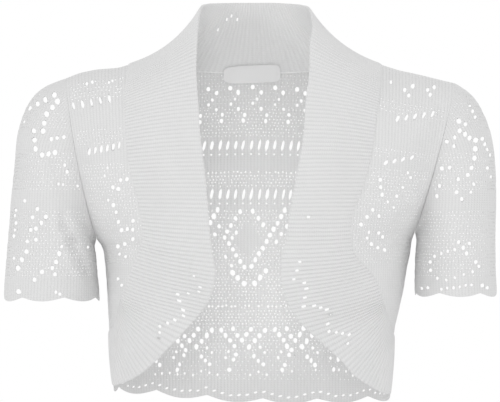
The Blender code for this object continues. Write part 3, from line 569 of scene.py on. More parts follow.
# %% Hem levels
HEM = sections(
    "along drop",
    (-240, 318), (-187, 319), (-160, 321), (-103, 325), (-48, 330.5), (9, 334), (65, 334),
    (125, 331), (182, 329), (240, 329),
)
HEM_SCALLOP = 5.6
SLEEVE_HEM = {"left": 231.0, "right": 226.5}
SLEEVE_SCALLOP_PITCH = 45.0
SLEEVE_SCALLOP = 4.0
SLEEVE_FIRST_CUSP = 2
SLEEVE_CUSPS = np.arange(-2, 8) * SLEEVE_SCALLOP_PITCH + SLEEVE_FIRST_CUSP


def scallop(along, cusps, depth):
    """How far a scalloped hem hangs below its cusps."""
    row = np.clip(np.searchsorted(cusps, along, side="right") - 1, 0, len(cusps) - 2)
    part = (along - cusps[row]) / (cusps[row + 1] - cusps[row])
    return depth * np.sin(math.pi * np.clip(part, 0, 1))


def hem_drop(along):
    """How low the back's hem hangs at each place along it."""
    return np.interp(along, HEM["along"], HEM["drop"]) + scallop(along, HEM["along"], HEM_SCALLOP)


def sleeve_hem_level(side, along):
    """Level of a sleeve's hem, the same in front and behind."""
    return SLEEVE_HEM[side] + scallop(np.abs(along), SLEEVE_CUSPS, SLEEVE_SCALLOP)


print("hem drops at the middle and at a side:", hem_drop(9.0), hem_drop(182.0), "mm")

# %% [markdown]
# ## Openings in the lace
# Lace is charted as holes in plain knitting. Four kinds make this pattern: round eyelets in lines,
# tall slits side by side where stitches were dropped, a fine net of tiny holes, and small slanted
# eyelets along a hem. An opening is a row of numbers: its place, width, height, lean and corners.

# %% Kinds of opening
EYELET_CORNERS = 7
EYELET_WIDTH = 0.9
EYELET_HEIGHT = 1.08
NET_CORNERS = 5
SLIT_CORNERS = 6
SLIT_WIDTH = 3.1
NET_UNEVENNESS = 0.28
LOOSENESS = 0.45
ROUGHNESS = 0.13
MISSED_STITCHES = -0.82


def waver(number):
    """A small uneven amount from -1 to 1 that is the same each run, as no two stitches match."""
    return np.sin(number * 12.9898 + 4.1414) * 43758.5453 % 2 - 1


def eyelet(u, v, size):
    """One nearly round opening. Its outline is a little wider or taller than its neighbours'."""
    number = u * 0.37 + v * 1.71
    width = size * EYELET_WIDTH * (1 + 0.1 * waver(number))
    tall = size * EYELET_HEIGHT * (1 + 0.1 * waver(number + 3))
    u, v = u + LOOSENESS * waver(number + 1), v + LOOSENESS * waver(number + 2)
    return u, v, width, tall, 14 * waver(number + 4), EYELET_CORNERS


def stroke(from_x, from_y, to_x, to_y, count):
    """Evenly spaced places along a straight stroke."""
    for part in np.linspace(0, 1, int(count)):
        yield from_x + part * (to_x - from_x), from_y + part * (to_y - from_y)


def eyelets_along(table, place):
    """Eyelets along each stroke of a table. place looks up the flat place of each."""
    return [
        eyelet(*place(*spot), size)
        for *line, size in zip(*table.values()) for spot in stroke(*line)
    ]


def net(cloth, top, bottom, across, down, size, wanted=lambda u, v: True, start=None):
    """A fine net: rows of tiny openings, each row half a pitch along from the last."""
    holes = []
    for j, v in enumerate(np.arange(top, bottom, down)):
        begin = cloth.edge(v, "start") if start is None else start
        first = math.ceil(begin / across) * across + (across / 2 if j % 2 else 0)
        for u in np.arange(first, cloth.edge(v, "end"), across):
            if wanted(u, v) and waver(u * 0.7 + v * 1.9) > MISSED_STITCHES:
                shift, sag = (0.2 * across * waver(u * way + v) for way in (1.3, 2.9))
                width = size * (1 + NET_UNEVENNESS * waver(u + v * 2.1))
                tall = size * (1 + NET_UNEVENNESS * waver(u * 2.3 + v))
                holes.append((u + shift, v + 0.6 * sag, width, tall, 25 * waver(u), NET_CORNERS))
    return holes

# %% [markdown]
# ## Filling a flat outline with openings left out
# A Boolean cut for each of thousands of holes would take hours. Constrained triangulation does it in
# one step: it takes the outline, the rings of the holes and some loose points between them, all flat,
# and joins them into triangles. The triangles that fill a hole are then left out. Only after that is
# the flat mesh laid on the curved cloth.

# %% Outlines and rings
HOLE_MARGIN = 1.5
HOLE_GAP = 0.65
SQUARE_SIDE = 12.0
GRID = 5.2
GRID_ROW = 0.87
GRID_MARGIN = 0.45
GRID_CLEARANCE = 1.3


def inside(outline, points):
    """Which flat points lie inside a flat outline."""
    x, y = points[:, 0], points[:, 1]
    result = np.zeros(len(points), bool)
    for (ax, ay), (bx, by) in zip(outline, np.roll(outline, -1, axis=0)):
        crosses = (ay > y) != (by > y)
        reach = ax + (y - ay) * (bx - ax) / (by - ay if by != ay else 1e-12)
        result ^= crosses & (x < reach)
    return result


def edge_distance(outline, points):
    """Each flat point's distance to the nearest edge of an outline."""
    best = np.full(len(points), 1e9)
    for a, b in zip(outline, np.roll(outline, -1, axis=0)):
        span = b - a
        t = np.clip(((points - a) @ span) / max(span @ span, 1e-12), 0, 1)
        best = np.minimum(best, np.linalg.norm(points - a - t[:, None] * span, axis=1))
    return best


def ring_of(hole):
    """Corner points of one opening."""
    u, v, width, tall, lean, corners = hole
    turn = math.radians(lean)
    angle = 2 * math.pi * (np.arange(int(corners)) + 0.5) / corners
    rough = 1 + ROUGHNESS * waver(u * 1.7 + v * 0.9 + angle)
    across, down = np.cos(angle) * width / 2 * rough, np.sin(angle) * tall / 2 * rough
    return np.stack((u + across * math.cos(turn) - down * math.sin(turn),
                     v + across * math.sin(turn) + down * math.cos(turn)), axis=1)


def reach_towards(hole, u, v):
    """How far an opening reaches from its middle towards a flat point."""
    way = math.atan2(v - hole[1], u - hole[0]) - math.radians(hole[4])
    longer = math.hypot(hole[3] * math.cos(way), hole[2] * math.sin(way))
    return 0.5 * hole[2] * hole[3] / max(longer, 1e-9)


def room_for(holes, outline):
    """Numbers of the openings that lie clear of the outline and of the openings before them."""
    rings = [ring_of(hole) for hole in holes]
    owner = np.repeat(np.arange(len(holes)), [len(ring) for ring in rings])
    corners = np.concatenate(rings)
    clear = inside(outline, corners) & (edge_distance(outline, corners) > HOLE_MARGIN)
    fits = np.ones(len(holes), bool)
    fits[owner[~clear]] = False
    kept, squares = [], {}
    beside = (-1, 0, 1)
    for number in np.flatnonzero(fits):
        hole = holes[number]
        column, row = int(hole[0] // SQUARE_SIDE), int(hole[1] // SQUARE_SIDE)
        near = [h for i in beside for j in beside for h in squares.get((column + i, row + j), ())]
        if all(math.hypot(hole[0] - h[0], hole[1] - h[1]) > HOLE_GAP
               + reach_towards(hole, h[0], h[1]) + reach_towards(h, hole[0], hole[1]) for h in near):
            kept.append(number)
            squares.setdefault((column, row), []).append(hole)
    return kept


def grid_points(outline, holes):
    """Loose points between the openings, on a staggered grid."""
    low, high = outline.min(axis=0), outline.max(axis=0)
    rows = enumerate(np.arange(low[1] + GRID / 2, high[1], GRID * GRID_ROW))
    grid = np.array([(u, v) for j, v in rows
                     for u in np.arange(low[0] + (GRID / 2 if j % 2 else 0), high[0], GRID)])
    grid = grid[inside(outline, grid)]
    grid = grid[edge_distance(outline, grid) > GRID * GRID_MARGIN]
    tree = KDTree(len(holes))
    for i, hole in enumerate(holes):
        tree.insert((hole[0], hole[1], 0), i)
    tree.balance()
    clear = [
        all(away > reach_towards(holes[i], u, v) + GRID_CLEARANCE
            for _, i, away in tree.find_n((u, v, 0), 4))
        for u, v in grid
    ]
    return grid[clear]


def triangulate(outline, holes):
    """Flat points, triangles, and which points lie on the outline or ring a hole."""
    rings = [ring_of(hole) for hole in holes]
    grid = grid_points(outline, holes)
    points = np.concatenate([outline, *rings, grid])
    ring_owners = [np.full(len(ring), i) for i, ring in enumerate(rings)]
    owner = np.concatenate([np.full(len(outline), -1), *ring_owners, np.full(len(grid), -2)])
    edges, first = [], 0
    for ring in [outline, *rings]:
        edges += [(first + i, first + (i + 1) % len(ring)) for i in range(len(ring))]
        first += len(ring)
    found, _, faces, origin, _, _ = delaunay_2d_cdt(
        [Vector(p) for p in points], edges, [], 0, 1e-5, True
    )
    source = np.array([ids[0] for ids in origin])
    found = np.array([tuple(p) for p in found])
    faces = np.array([tuple(f) for f in faces])
    owners = owner[source[faces]]
    filled = (owners[:, 0] >= 0) & (owners[:, 0] == owners[:, 1]) & (owners[:, 0] == owners[:, 2])
    faces = faces[inside(outline, found[faces].mean(axis=1)) & ~filled]
    return found, faces, owner[source]

# %% [markdown]
# ## From flat to solid cloth
# Each flat point is laid on the cloth twice, once for the outside and once for the inside, and walls
# join the two skins round the edge and round each hole. The points round a hole are drawn in a
# little, so that the knitting looks like rounded yarn there and not like sheet metal.

# %% Walls and pieces
LACE_WALL = 1.1
HOLE_ROUNDING = 0.34
SEAM_SINK = 0.35
SHARP_ANGLE = 62
HEM_ALLOWANCE = 1.03


def wall_from(outer, inner, faces):
    """A closed wall between two matching skins, with walls round its edge and its openings."""
    count = len(outer)
    faces = [tuple(int(i) for i in face) for face in faces]
    sides = {edge for face in faces for edge in zip(face, face[1:] + face[:1])}
    solid = faces + [tuple(i + count for i in reversed(face)) for face in faces]
    solid += [(b, a, a + count, b + count) for a, b in sides if (b, a) not in sides]
    return np.concatenate((outer, inner)), solid


def grid_faces(rows, columns, opened=()):
    """The squares of a grid of points, apart from those left open."""
    return [
        (r * columns + c, (r + 1) * columns + c, (r + 1) * columns + c + 1, r * columns + c + 1)
        for r in range(rows - 1) for c in range(columns - 1) if (r, c) not in opened
    ]


def cloth_piece(name, verts, faces, stitches, finish):
    """A named piece with its flat stitch coordinates as a UV map, riding on the garment's body."""
    mesh = bpy.data.meshes.new(name)
    mesh.from_pydata((verts * MM).tolist(), [], faces)
    mesh.update()
    corners = np.zeros(len(mesh.loops), np.int32)
    mesh.loops.foreach_get("vertex_index", corners)
    layer = mesh.uv_layers.new(name="stitches")
    layer.data.foreach_set("uv", (stitches[corners % len(stitches)] * MM).astype(np.float32).ravel())
    mesh.shade_smooth()
    mesh.set_sharp_from_angle(angle=math.radians(SHARP_ANGLE))
    mesh.materials.append(finish)
    piece = bpy.data.objects.new(name, mesh)
    bpy.context.scene.collection.objects.link(piece)
    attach(piece, "root")
    return piece


def area_of(points, faces):
    """Area of the triangles made by the first three corners of each face."""
    a, b, c = (points[faces[:, i]] for i in range(3))
    return float(np.linalg.norm(np.cross(b - a, c - a), axis=1).sum() / 2)


def lace_piece(name, cloth, outline, holes):
    """A lace panel: the flat outline and openings laid on the cloth's curved form."""
    holes = [holes[i] for i in room_for(holes, outline)]
    flat, faces, owner = triangulate(outline, holes)
    points, normal = cloth.frame(flat[:, 0], flat[:, 1])
    if ((points - points.mean(axis=0)) * normal).sum() < 0:
        normal = -normal
        faces = faces[:, ::-1]
    rounding = np.where(owner >= 0, HOLE_ROUNDING, 0.0)[:, None]
    seam = np.where(owner == -1, SEAM_SINK, 0.0)[:, None]
    outer = folded(points - normal * (rounding + seam))
    inner = folded(points - normal * (LACE_WALL - rounding))
    verts, solid = wall_from(outer, inner, faces)
    piece = cloth_piece(name, verts, solid, flat, LACE_YARN)
    low, high = outline.min(axis=0), outline.max(axis=0)
    width = high[0] - low[0]
    middle = (low[0] + high[0]) / 2
    down = np.linspace(low[1], high[1], 80)
    length = lengths(cloth.point(np.full_like(down, middle), down))[-1]
    area = min(area_of(outer, faces) * HEM_ALLOWANCE, width * length)
    print(f"{name}: {len(holes)} openings, {len(solid)} faces, cut {width:.0f} by {length:.0f} mm")
    return piece, (width * MM, length * MM), area * MM * MM

# %% [markdown]
# ## Yarn
# Knitting is columns of V-shaped stitches. Drawn by hand in a picture it would blur or repeat, so the
# V's are worked out from the flat stitch coordinates: the column gives a round ridge, and the two
# arms of each V slant down to its middle. A bump map turns that height into light and shade, and the
# same height darkens the colour in the grooves between stitches as painted shade. A soft noise makes
# the yarn uneven, and a little sheen stands for the fuzz on it.

# %% Finish helpers


def worked(tree, operation, *values):
    """A Math node with numbers or other nodes' outputs as its inputs."""
    node = tree.nodes.new("ShaderNodeMath")
    node.operation = operation
    for socket, value in zip(node.inputs, values):
        if isinstance(value, (int, float)):
            socket.default_value = value
        else:
            tree.links.new(value, socket)
    return node.outputs[0]


def stitch_axes(tree):
    """The two flat stitch coordinates of a piece, from its UV map."""
    place = tree.nodes.new("ShaderNodeUVMap")
    place.uv_map = "stitches"
    split = tree.nodes.new("ShaderNodeSeparateXYZ")
    tree.links.new(place.outputs["UV"], split.inputs[0])
    return split.outputs["X"], split.outputs["Y"]


def unevenness(tree, scale, detail):
    """A soft cloud of noise, fixed to the piece."""
    cloud = tree.nodes.new("ShaderNodeTexNoise")
    cloud.inputs["Scale"].default_value = scale
    cloud.inputs["Detail"].default_value = detail
    coordinates = tree.nodes.new("ShaderNodeTexCoord")
    tree.links.new(coordinates.outputs["Object"], cloud.inputs["Vector"])
    return cloud.outputs["Fac"]


def emboss(tree, relief, strength, depth):
    """Turns a height into light and shade, depth millimetres at its most."""
    raised = tree.nodes.new("ShaderNodeBump")
    raised.inputs["Strength"].default_value = strength
    raised.inputs["Distance"].default_value = depth * MM
    tree.links.new(relief, raised.inputs["Height"])
    tree.links.new(raised.outputs["Normal"], tree.nodes["Principled BSDF"].inputs["Normal"])

# %% Knit finish
YARN_WHITE = (0.80, 0.80, 0.80)
YARN_ROUGHNESS = 0.92
YARN_DEPTH = 0.45
YARN_SHEEN = 0.4
COURSE = 2.3
LACE_WALE = 3.4
FUZZ_SCALE = 900
CLOUD_SCALE = 26


def knit_finish(name, colour, wale, bump, shade):
    """Matt yarn in stitches wale wide and COURSE tall, in millimetres, with painted shade darkening its
    colour in the grooves by up to shade.
    """
    finish = plain_finish(name, colour, YARN_ROUGHNESS)
    tree = finish.node_tree
    shader = tree.nodes["Principled BSDF"]
    across, down = stitch_axes(tree)

    def sum_of(operation, *values):
        return worked(tree, operation, *values)

    column = sum_of("FRACT", sum_of("DIVIDE", across, wale * MM))
    off_centre = sum_of("ABSOLUTE", sum_of("SUBTRACT", column, 0.5))
    ridge = sum_of("SUBTRACT", 1.0, sum_of("POWER", sum_of("MULTIPLY", off_centre, 2.0), 2.4))
    row = sum_of("ADD", sum_of("DIVIDE", down, COURSE * MM), off_centre)
    arm = sum_of("MULTIPLY_ADD", sum_of("SINE", sum_of("MULTIPLY", row, 2 * math.pi)), 0.5, 0.5)
    stitch = sum_of("ADD", sum_of("MULTIPLY", ridge, 0.62), sum_of("MULTIPLY", arm, 0.38))
    fuzz = unevenness(tree, FUZZ_SCALE, 3)
    uneven = unevenness(tree, CLOUD_SCALE, 2)
    emboss(tree, sum_of("ADD", stitch, sum_of("MULTIPLY", fuzz, 0.3)), bump, YARN_DEPTH)
    # Painted shade: the colour is darkened by up to shade where the stitch height is low, in the
    # grooves; the noise on the next line adds random unevenness.
    depth = sum_of("MULTIPLY_ADD", stitch, shade, 1 - shade)
    groove_shade_and_unevenness = sum_of("MULTIPLY", depth, sum_of("MULTIPLY_ADD", uneven, 0.06, 0.97))
    mixed = tree.nodes.new("ShaderNodeVectorMath")
    mixed.operation = "SCALE"
    mixed.inputs[0].default_value = colour
    tree.links.new(groove_shade_and_unevenness, mixed.inputs["Scale"])
    tree.links.new(mixed.outputs[0], shader.inputs["Base Color"])
    shader.inputs["Specular IOR Level"].default_value = 0.2
    shader.inputs["Sheen Weight"].default_value = YARN_SHEEN
    shader.inputs["Sheen Roughness"].default_value = 0.5
    return finish


LACE_YARN = knit_finish("lace_yarn", YARN_WHITE, LACE_WALE, 0.75, 0.10)
print("stitches of the lace:", LACE_WALE, "mm wide,", COURSE, "mm tall")

# %% [markdown]
# ## The band's path
# The ribbed band is one long strip, knitted sideways and sewn on: up the left front, round the neck
# and down the right front. Each row of its tables says where its seam lies on the lace, where its
# free edge is, and how far it swells between the two. The neck is where it turns into a collar.

# %% Band tables
BAND_LEFT = sections(
    "along drop edge_x edge_y edge_z swell",
    (194.9, 266, -141.2, 0, -319, 1),
    (181, 263, -137.4, -22, -318.6, 2),
    (166, 256, -120, -50, -311.5, 4),
    (158, 245, -99, -71, -295, 5),
    (152.1, 231, -62, -95, -256, 6),
    (141.3, 213, -45.5, -104, -234, 6),
    (127.7, 191, -38.5, -110, -208, 6),
    (117.7, 172, -42, -113, -181, 5),
    (116.5, 149.2, -45, -114, -152, 5),
    (121.7, 124.6, -47, -111, -124, 4),
    (127.1, 99.8, -50, -106, -96, 4),
    (129.5, 74.6, -53.5, -96, -67, 4),
    (130.2, 49.5, -55.5, -81, -36, 4),
    (130.1, 30.4, -57.5, -63, -6, 2),
    (128.8, 15.8, -57, -43, 21, -2),
    (126.6, 5.4, -56, -20, 42, -6),
    (124.5, 0, -53, 4, 59, -9),
)
BAND_RIGHT = sections(
    "along drop edge_x edge_y edge_z swell",
    (190.2, 270, 136.6, 0, -328.5, 1),
    (175, 266, 127, -30, -325.5, 2),
    (161, 257, 103, -58, -311, 4),
    (152, 246, 84, -74, -291, 5),
    (143.5, 232, 46, -98, -256, 6),
    (129.3, 210, 30, -108, -228, 6),
    (106, 190, 26.6, -112, -196, 6),
    (99.8, 170, 31.5, -114, -172, 5),
    (100.7, 147.4, 35.2, -115, -148, 5),
    (109.5, 124.9, 39, -112, -125, 4),
    (116.6, 100.2, 44, -107, -99, 4),
    (120.7, 75.5, 49, -97, -69, 4),
    (123.1, 50.7, 51, -82, -38, 4),
    (125.8, 31.7, 54.8, -64, -8, 2),
    (127, 16.7, 56, -43, 20, -2),
    (127.1, 5.7, 58.5, -20, 41, -5),
    (126.5, 0, 55.5, 4, 57.5, -8),
)
COLLAR = sections(
    "along drop edge_x edge_y edge_z swell",
    (-108.4, 3.9, -47, 27, 62.6, -7),
    (-82.2, 9.9, -37, 45, 63.6, -4),
    (-45.1, 14.4, -21, 56, 64, -2),
    (0, 16.7, 0, 60, 64, -1),
    (45.1, 14.4, 21, 56, 64, -2),
    (82.2, 9.9, 38, 45, 63, -4),
    (109.4, 3.9, 48.5, 27, 61.4, -7),
)


def band_run():
    """The band's sections in one run, from the left side seam round the neck to the right.

    root is the square root of a drop, below nought in front, so the run has no jump at the shoulders.
    """
    run = {}
    for name in COLLAR:
        left, right = BAND_LEFT[name], BAND_RIGHT[name][::-1]
        if name == "drop":
            run["root"] = np.concatenate((-np.sqrt(left), np.sqrt(COLLAR[name]), -np.sqrt(right)))
        else:
            sign = -1 if name == "along" else 1
            run[name] = np.concatenate((sign * left, COLLAR[name], right))
    return run


BAND = band_run()
LEFT_SHOULDER = len(BAND_LEFT["drop"]) - 1
RIGHT_SHOULDER = len(BAND["root"]) - len(BAND_RIGHT["drop"])
BAND_PIECES = {
    "band_left": (0, LEFT_SHOULDER),
    "band_back": (LEFT_SHOULDER, RIGHT_SHOULDER),
    "band_right": (RIGHT_SHOULDER, len(BAND["root"]) - 1),
}


def on_body(along, root):
    """A point of the seam between lace and band."""
    if root >= 0:
        return CLOTHS["back"].point(np.array(along), np.array(root * root))
    side = "left" if along < 0 else "right"
    return CLOTHS[side].point(np.array(abs(along)), np.array(root * root))


def band_lines(parts):
    """The band's seam line, free edge, swell and seam values at parts of its run."""
    rows = np.arange(len(BAND["root"]))
    value = {name: spline(rows, column, parts) for name, column in BAND.items()}
    seam = np.array([on_body(a, r) for a, r in zip(value["along"], value["root"])])
    edge = np.stack((value["edge_x"], value["edge_y"], value["edge_z"]), axis=1)
    return seam, edge, value["swell"], value


print("sections of the band:", len(BAND["root"]))

# %% [markdown]
# Ribs are counted along the middle of the band, a whole number in each length, so a rib ends exactly
# where two lengths meet. Six rows of points make one rib, enough for a round top.

# %% Ribs along the band
RIB_PITCH = 4.1
RIB_ROWS = 6


def band_stations():
    """RIB_ROWS stations a rib, evenly spaced along the middle of each piece of the band."""
    stations, spans = [], {}
    for name, (first, last) in BAND_PIECES.items():
        fine = np.linspace(first, last, 300)
        seam, edge, _, _ = band_lines(fine)
        along = lengths((seam + edge) / 2)
        count = RIB_ROWS * round(along[-1] / RIB_PITCH) + 1
        parts = np.interp(np.linspace(0, along[-1], count), along, fine)
        parts[0], parts[-1] = first, last
        begin = max(len(stations) - 1, 0)
        stations += list(parts if not stations else parts[1:])
        spans[name] = (begin, len(stations))
        print(f"{name}: {(count - 1) // RIB_ROWS} ribs over {along[-1]:.0f} mm")
    return np.array(stations), spans


STATIONS, SPANS = band_stations()
SEAM_LINE, EDGE_LINE, SWELL, SEAM_VALUES = band_lines(STATIONS)

# %% [markdown]
# Without its ribs the band is a smooth sheet from its seam to its free edge, pushed out by its swell
# in the middle. Its grid of points is finer near both edges, where the knitting rolls thin.

# %% Plain form of the band
PLAIN_COLUMNS = 13
BAND_ACROSS = np.concatenate(([0, 0.014, 0.035], np.linspace(0.08, 0.94, 18), [0.972, 0.99, 1]))


def grid_normals(grid):
    """Unit normals of a grid of points."""
    normal = np.cross(np.gradient(grid, axis=0), np.gradient(grid, axis=1))
    return normal / np.linalg.norm(normal, axis=2, keepdims=True)


def band_form():
    """Points of the band's plain outer form, a row for each station, and their outward normals."""
    even = np.linspace(0, 1, PLAIN_COLUMNS)[None, :, None]
    flat = SEAM_LINE[:, None] * (1 - even) + EDGE_LINE[:, None] * even
    facing = np.sign(grid_normals(flat)[len(flat) // 2, 4][1])
    swollen = flat + grid_normals(flat) * facing * (SWELL[:, None, None] * 4 * even * (1 - even))
    columns = BAND_ACROSS * (len(even[0]) - 1)
    left = np.clip(columns.astype(int), 0, len(even[0]) - 2)
    beside = (columns - left)[None, :, None]

    def read(values):
        return values[:, left] * (1 - beside) + values[:, left + 1] * beside

    normal = read(grid_normals(swollen) * facing)
    return read(swollen), normal / np.linalg.norm(normal, axis=2, keepdims=True)


BAND_FORM, BAND_NORMALS = band_form()
print("band grid:", BAND_FORM.shape)

# %% [markdown]
# A trail of small eyelets steps over the lower fronts of the band, between the ribs. Each eyelet is
# a block of the band's grid whose points are drawn into a ring, and whose inner squares are left out.

# %% Trail of eyelets
TRAILS = {
    "band_left": strokes(
        (-51, -221, -67, -226, 3, 2.6), (-76, -228, -74, -241, 3, 3.4), (-73, -247, -73, -247, 1, 3.0),
        (-81, -252, -96, -258, 3, 3.0), (-95, -265, -95, -271, 2, 2.8), (-62, -209, -62, -209, 1, 2.4),
    ),
    "band_right": strokes(
        (49, -195, 38, -213, 3, 2.8), (54, -215, 54, -215, 1, 3.2), (53, -222, 53, -238, 3, 3.4),
        (61, -239, 76, -241, 3, 3.4), (76, -248, 76, -264, 3, 3.2), (83, -265, 96, -267, 3, 3.0),
        (95, -275, 95, -275, 1, 2.6), (56, -151, 56, -151, 1, 2.8),
    ),
    "band_back": strokes(
        (-28, 46, -23, 49, 2, 2.4), (-17, 46, -17, 46, 1, 2.4), (-37, 36, -37, 36, 1, 2.2),
    ),
}
EYELET_ROWS = 2
TRAIL_SCALE = 1.4
TRAIL_BEHIND = 1.5
CLEAR_OF_SEAM = 3
CLEAR_OF_EDGE = 5


def trail_places(band_name):
    """Blocks of a band's grid that become eyelets: row, column, middle and size of each."""
    form = BAND_FORM[slice(*SPANS[band_name])]
    found = []
    for *line, size in zip(*TRAILS[band_name].values()):
        for x, z in stroke(*line):
            away = np.hypot(form[..., 0] - x, form[..., 2] - z)
            away[:EYELET_ROWS] = away[-EYELET_ROWS - 1:] = 1e9
            away[:, :CLEAR_OF_SEAM] = away[:, -CLEAR_OF_EDGE:] = 1e9
            row, column = np.unravel_index(np.argmin(away), away.shape)
            found.append((row, column, (form[row, column] + form[row, column + 1]) / 2, size))
    return found


def open_eyelet(form, row, column, middle, size):
    """Rounds the points of one block of the grid into an eyelet."""
    for r in range(row - EYELET_ROWS, row + EYELET_ROWS + 1):
        for c in (column, column + 1):
            way = form[r, c] - middle
            form[r, c] = middle + way / max(np.linalg.norm(way), 1e-9) * size / 2


TRAIL_PLACES = [
    (middle, size)
    for band_name in ("band_left", "band_right") for _, _, middle, size in trail_places(band_name)
]
print("eyelets over the lower fronts of the band:", len(TRAIL_PLACES))

# %% [markdown]
# ## Seams and places
# A cut piece ends at its seams: along the armhole it follows the sleeve, and along the band it follows
# the band's seam line. The figures of the lace are charted as they are seen from the front, so a place
# seen there is looked up on the cloth. Where two layers hang one behind the other, the same openings
# are set in both, and light comes through them as it does in thin lace.

# %% Seams and places
OUTLINE_STEP = 4.0
ARMHOLE_STEPS = 44


def steps_between(first, last, step=OUTLINE_STEP):
    """Levels from one to another, both kept, spaced about a step."""
    return list(np.linspace(first, last, max(1, round(abs(last - first) / step)) + 1))


def armhole_levels(side, face, measure):
    """Levels down an armhole, as drops on the body or as levels on the sleeve."""
    turns = np.linspace(0, math.pi, ARMHOLE_STEPS + 1) * -FACES[face]
    x, _, z = sleeve_point(SIDES[side]["sleeve"], 0.0, turns)
    return [float(v) for v in (drop_of(x, z) if measure == "drop" else -z)]


def seam_of(name):
    """The band's seam on the lace, in flat coordinates, two points to a rib."""
    first, last = SPANS[name]
    picked = list(range(first, last, RIB_ROWS // 2))
    picked += [last - 1] if picked[-1] != last - 1 else []
    return [(float(SEAM_VALUES["along"][i]), float(SEAM_VALUES["root"][i]) ** 2) for i in picked]


def place_on(cloth, first=None, last=None, body=True):
    """Looks up the flat place of a point seen from the front."""
    def place(x, z):
        level = float(drop_of(x, z)) if body else -z
        return cloth.across_at(x, level, first, last), level
    return place


def seen_behind(x, y, z):
    """Where the camera sees the layer behind, as it looks through a point of the front."""
    growth = (CAMERA_DISTANCE / MM - y) / (CAMERA_DISTANCE / MM + y)
    middle_x, middle_z = CAMERA_X / MM, CAMERA_Z / MM
    return float(middle_x + (x - middle_x) * growth), float(middle_z + (z - middle_z) * growth)


def holes_behind(holes, cloth, place, mirrored):
    """The same openings in the layer behind."""
    behind = []
    for u, v, width, tall, lean, corners in holes:
        spot = place(*seen_behind(*cloth.point(np.array(u), np.array(v))))
        behind.append((*spot, width, tall, -lean if mirrored else lean, corners))
    return behind


print("points along the seam of the collar:", len(seam_of("band_back")))

# %% [markdown]
# An opening near the side of a body or a sleeve is seen aslant, and looks too narrow. So each one is
# cut wider across the slant, up to a limit, and the thickness of the cloth is made up for as well.
# An opening is cut only where both layers have room for it, or one layer would close the other's.

# %% Openings as they are seen
WIDEST_STRETCH = 2.1
NET_LIMIT = 2.6
NET_STRETCH = 1.3
SLANT_STEP = 1.5
LEAST_SEEN = 0.25


def as_cut(cloth, hole):
    """The opening to cut in the flat cloth, so that it has its charted shape when seen from in front."""
    u, v, width, tall, lean, corners = hole
    step = SLANT_STEP
    points = cloth.point(np.array([u - step, u + step, u, u]), np.array([v, v, v - step, v + step]))
    along, down = (points[1] - points[0]) / (2 * step), (points[3] - points[2]) / (2 * step)
    normal = np.cross(along, down)
    normal /= max(np.linalg.norm(normal), 1e-9)
    turn = math.radians(lean)
    chart = np.array([[math.cos(turn) * width, -math.sin(turn) * tall],
                      [math.sin(turn) * width, math.cos(turn) * tall]])
    chart[0] *= math.copysign(1, along[0])
    wall = np.array((normal[0], -normal[2]))
    chart += np.outer(wall, wall) @ chart * LACE_WALL / width
    seen = np.array([[along[0], down[0]], [-along[2], -down[2]]])
    if abs(np.linalg.det(seen)) < LEAST_SEEN:
        return hole
    turned, sizes, _ = np.linalg.svd(np.linalg.solve(seen, chart))
    limit = NET_STRETCH if width < NET_LIMIT else WIDEST_STRETCH
    long_side = min(sizes[0], limit * max(width, tall))
    short_side = min(sizes[1], limit * min(width, tall))
    lean = math.degrees(math.atan2(turned[1, 0], turned[0, 0])) - 90
    return (u, v, short_side, long_side, lean, corners)


def see_through(holes, cloth, outline, cloth_behind, outline_behind, place, mirrored=True):
    """The openings with room in both layers: as cut in the front one, and as cut in the one behind."""
    behind = holes_behind(holes, cloth, place, mirrored)
    front = [as_cut(cloth, hole) for hole in holes]
    behind = [as_cut(cloth_behind, hole) for hole in behind]
    both = sorted(set(room_for(front, outline)) & set(room_for(behind, outline_behind)))
    return [front[i] for i in both], [behind[i] for i in both]

# %% [markdown]
# The cut edge of each piece is a closed flat line. It follows the shoulder, the armhole, the side seam,
# and then the seam of the band or the scalloped hem. Two pieces that are sewn together take their
# points from one seam line, so no gap opens between them.

# %% Outlines of the fronts and the back
SIDE_SEAM_DROP = 320.0
HEM_STEP = 2.5


def side_line(cloth, which, levels):
    """Points down one side of a cloth."""
    return [(cloth.edge(level, which), level) for level in levels]


def front_outline(side):
    """Along the shoulder, down the armhole and the side seam, and back up along the band."""
    cloth = CLOTHS[side]
    seam = [(abs(u), v) for u, v in seam_of("band_" + side)]
    seam = seam if side == "left" else seam[::-1]
    arm = armhole_levels(side, "front", "drop")
    outline = [(u, 0.0) for u in steps_between(seam[-1][0], cloth.edge(0.0, "end"))[:-1]]
    outline += side_line(cloth, "end", arm + steps_between(arm[-1], seam[0][1])[1:])
    return outline + seam[1:-1]


def back_outline():
    """Up the left side, along the shoulders and the neck, down the right side, and along the hem."""
    cloth = CLOTHS["back"]
    arms = {side: armhole_levels(side, "back", "drop") for side in SIDES}
    side_ends = {}
    for which in ("start", "end"):
        drop = SIDE_SEAM_DROP
        for _ in range(4):
            drop = float(hem_drop(cloth.edge(drop, which)))
        side_ends[which] = drop
    outline = side_line(cloth, "start", steps_between(side_ends["start"], arms["left"][-1]))
    outline += side_line(cloth, "start", arms["left"][-2::-1])
    neck = seam_of("band_back")
    outline += [(u, 0.0) for u in steps_between(cloth.edge(0.0, "start"), neck[0][0])[1:-1]]
    outline += neck
    outline += [(u, 0.0) for u in steps_between(neck[-1][0], cloth.edge(0.0, "end"))[1:-1]]
    outline += side_line(cloth, "end", arms["right"])
    outline += side_line(cloth, "end", steps_between(arms["right"][-1], side_ends["end"])[1:])
    first, last = outline[-1][0], outline[0][0]
    outline += [(u, float(hem_drop(u))) for u in steps_between(first, last, HEM_STEP)[1:-1]]
    return outline


FRONT_OUTLINES = {side: np.array(front_outline(side)) for side in SIDES}
BACK_OUTLINE = np.array(back_outline())
print("points round the back:", len(BACK_OUTLINE))

# %% [markdown]
# ## The lace fronts
# Each front runs from the shoulder to a point where the band reaches the side seam. Their figures are
# charted as they hang, by how far they lie across and below the neck, and are then looked up on the
# cloth. The two sides differ a little, as hand-finished knitting does. A see-through picture on plain
# cloth would be quicker, but real openings have depth and let light through, so they are cut.

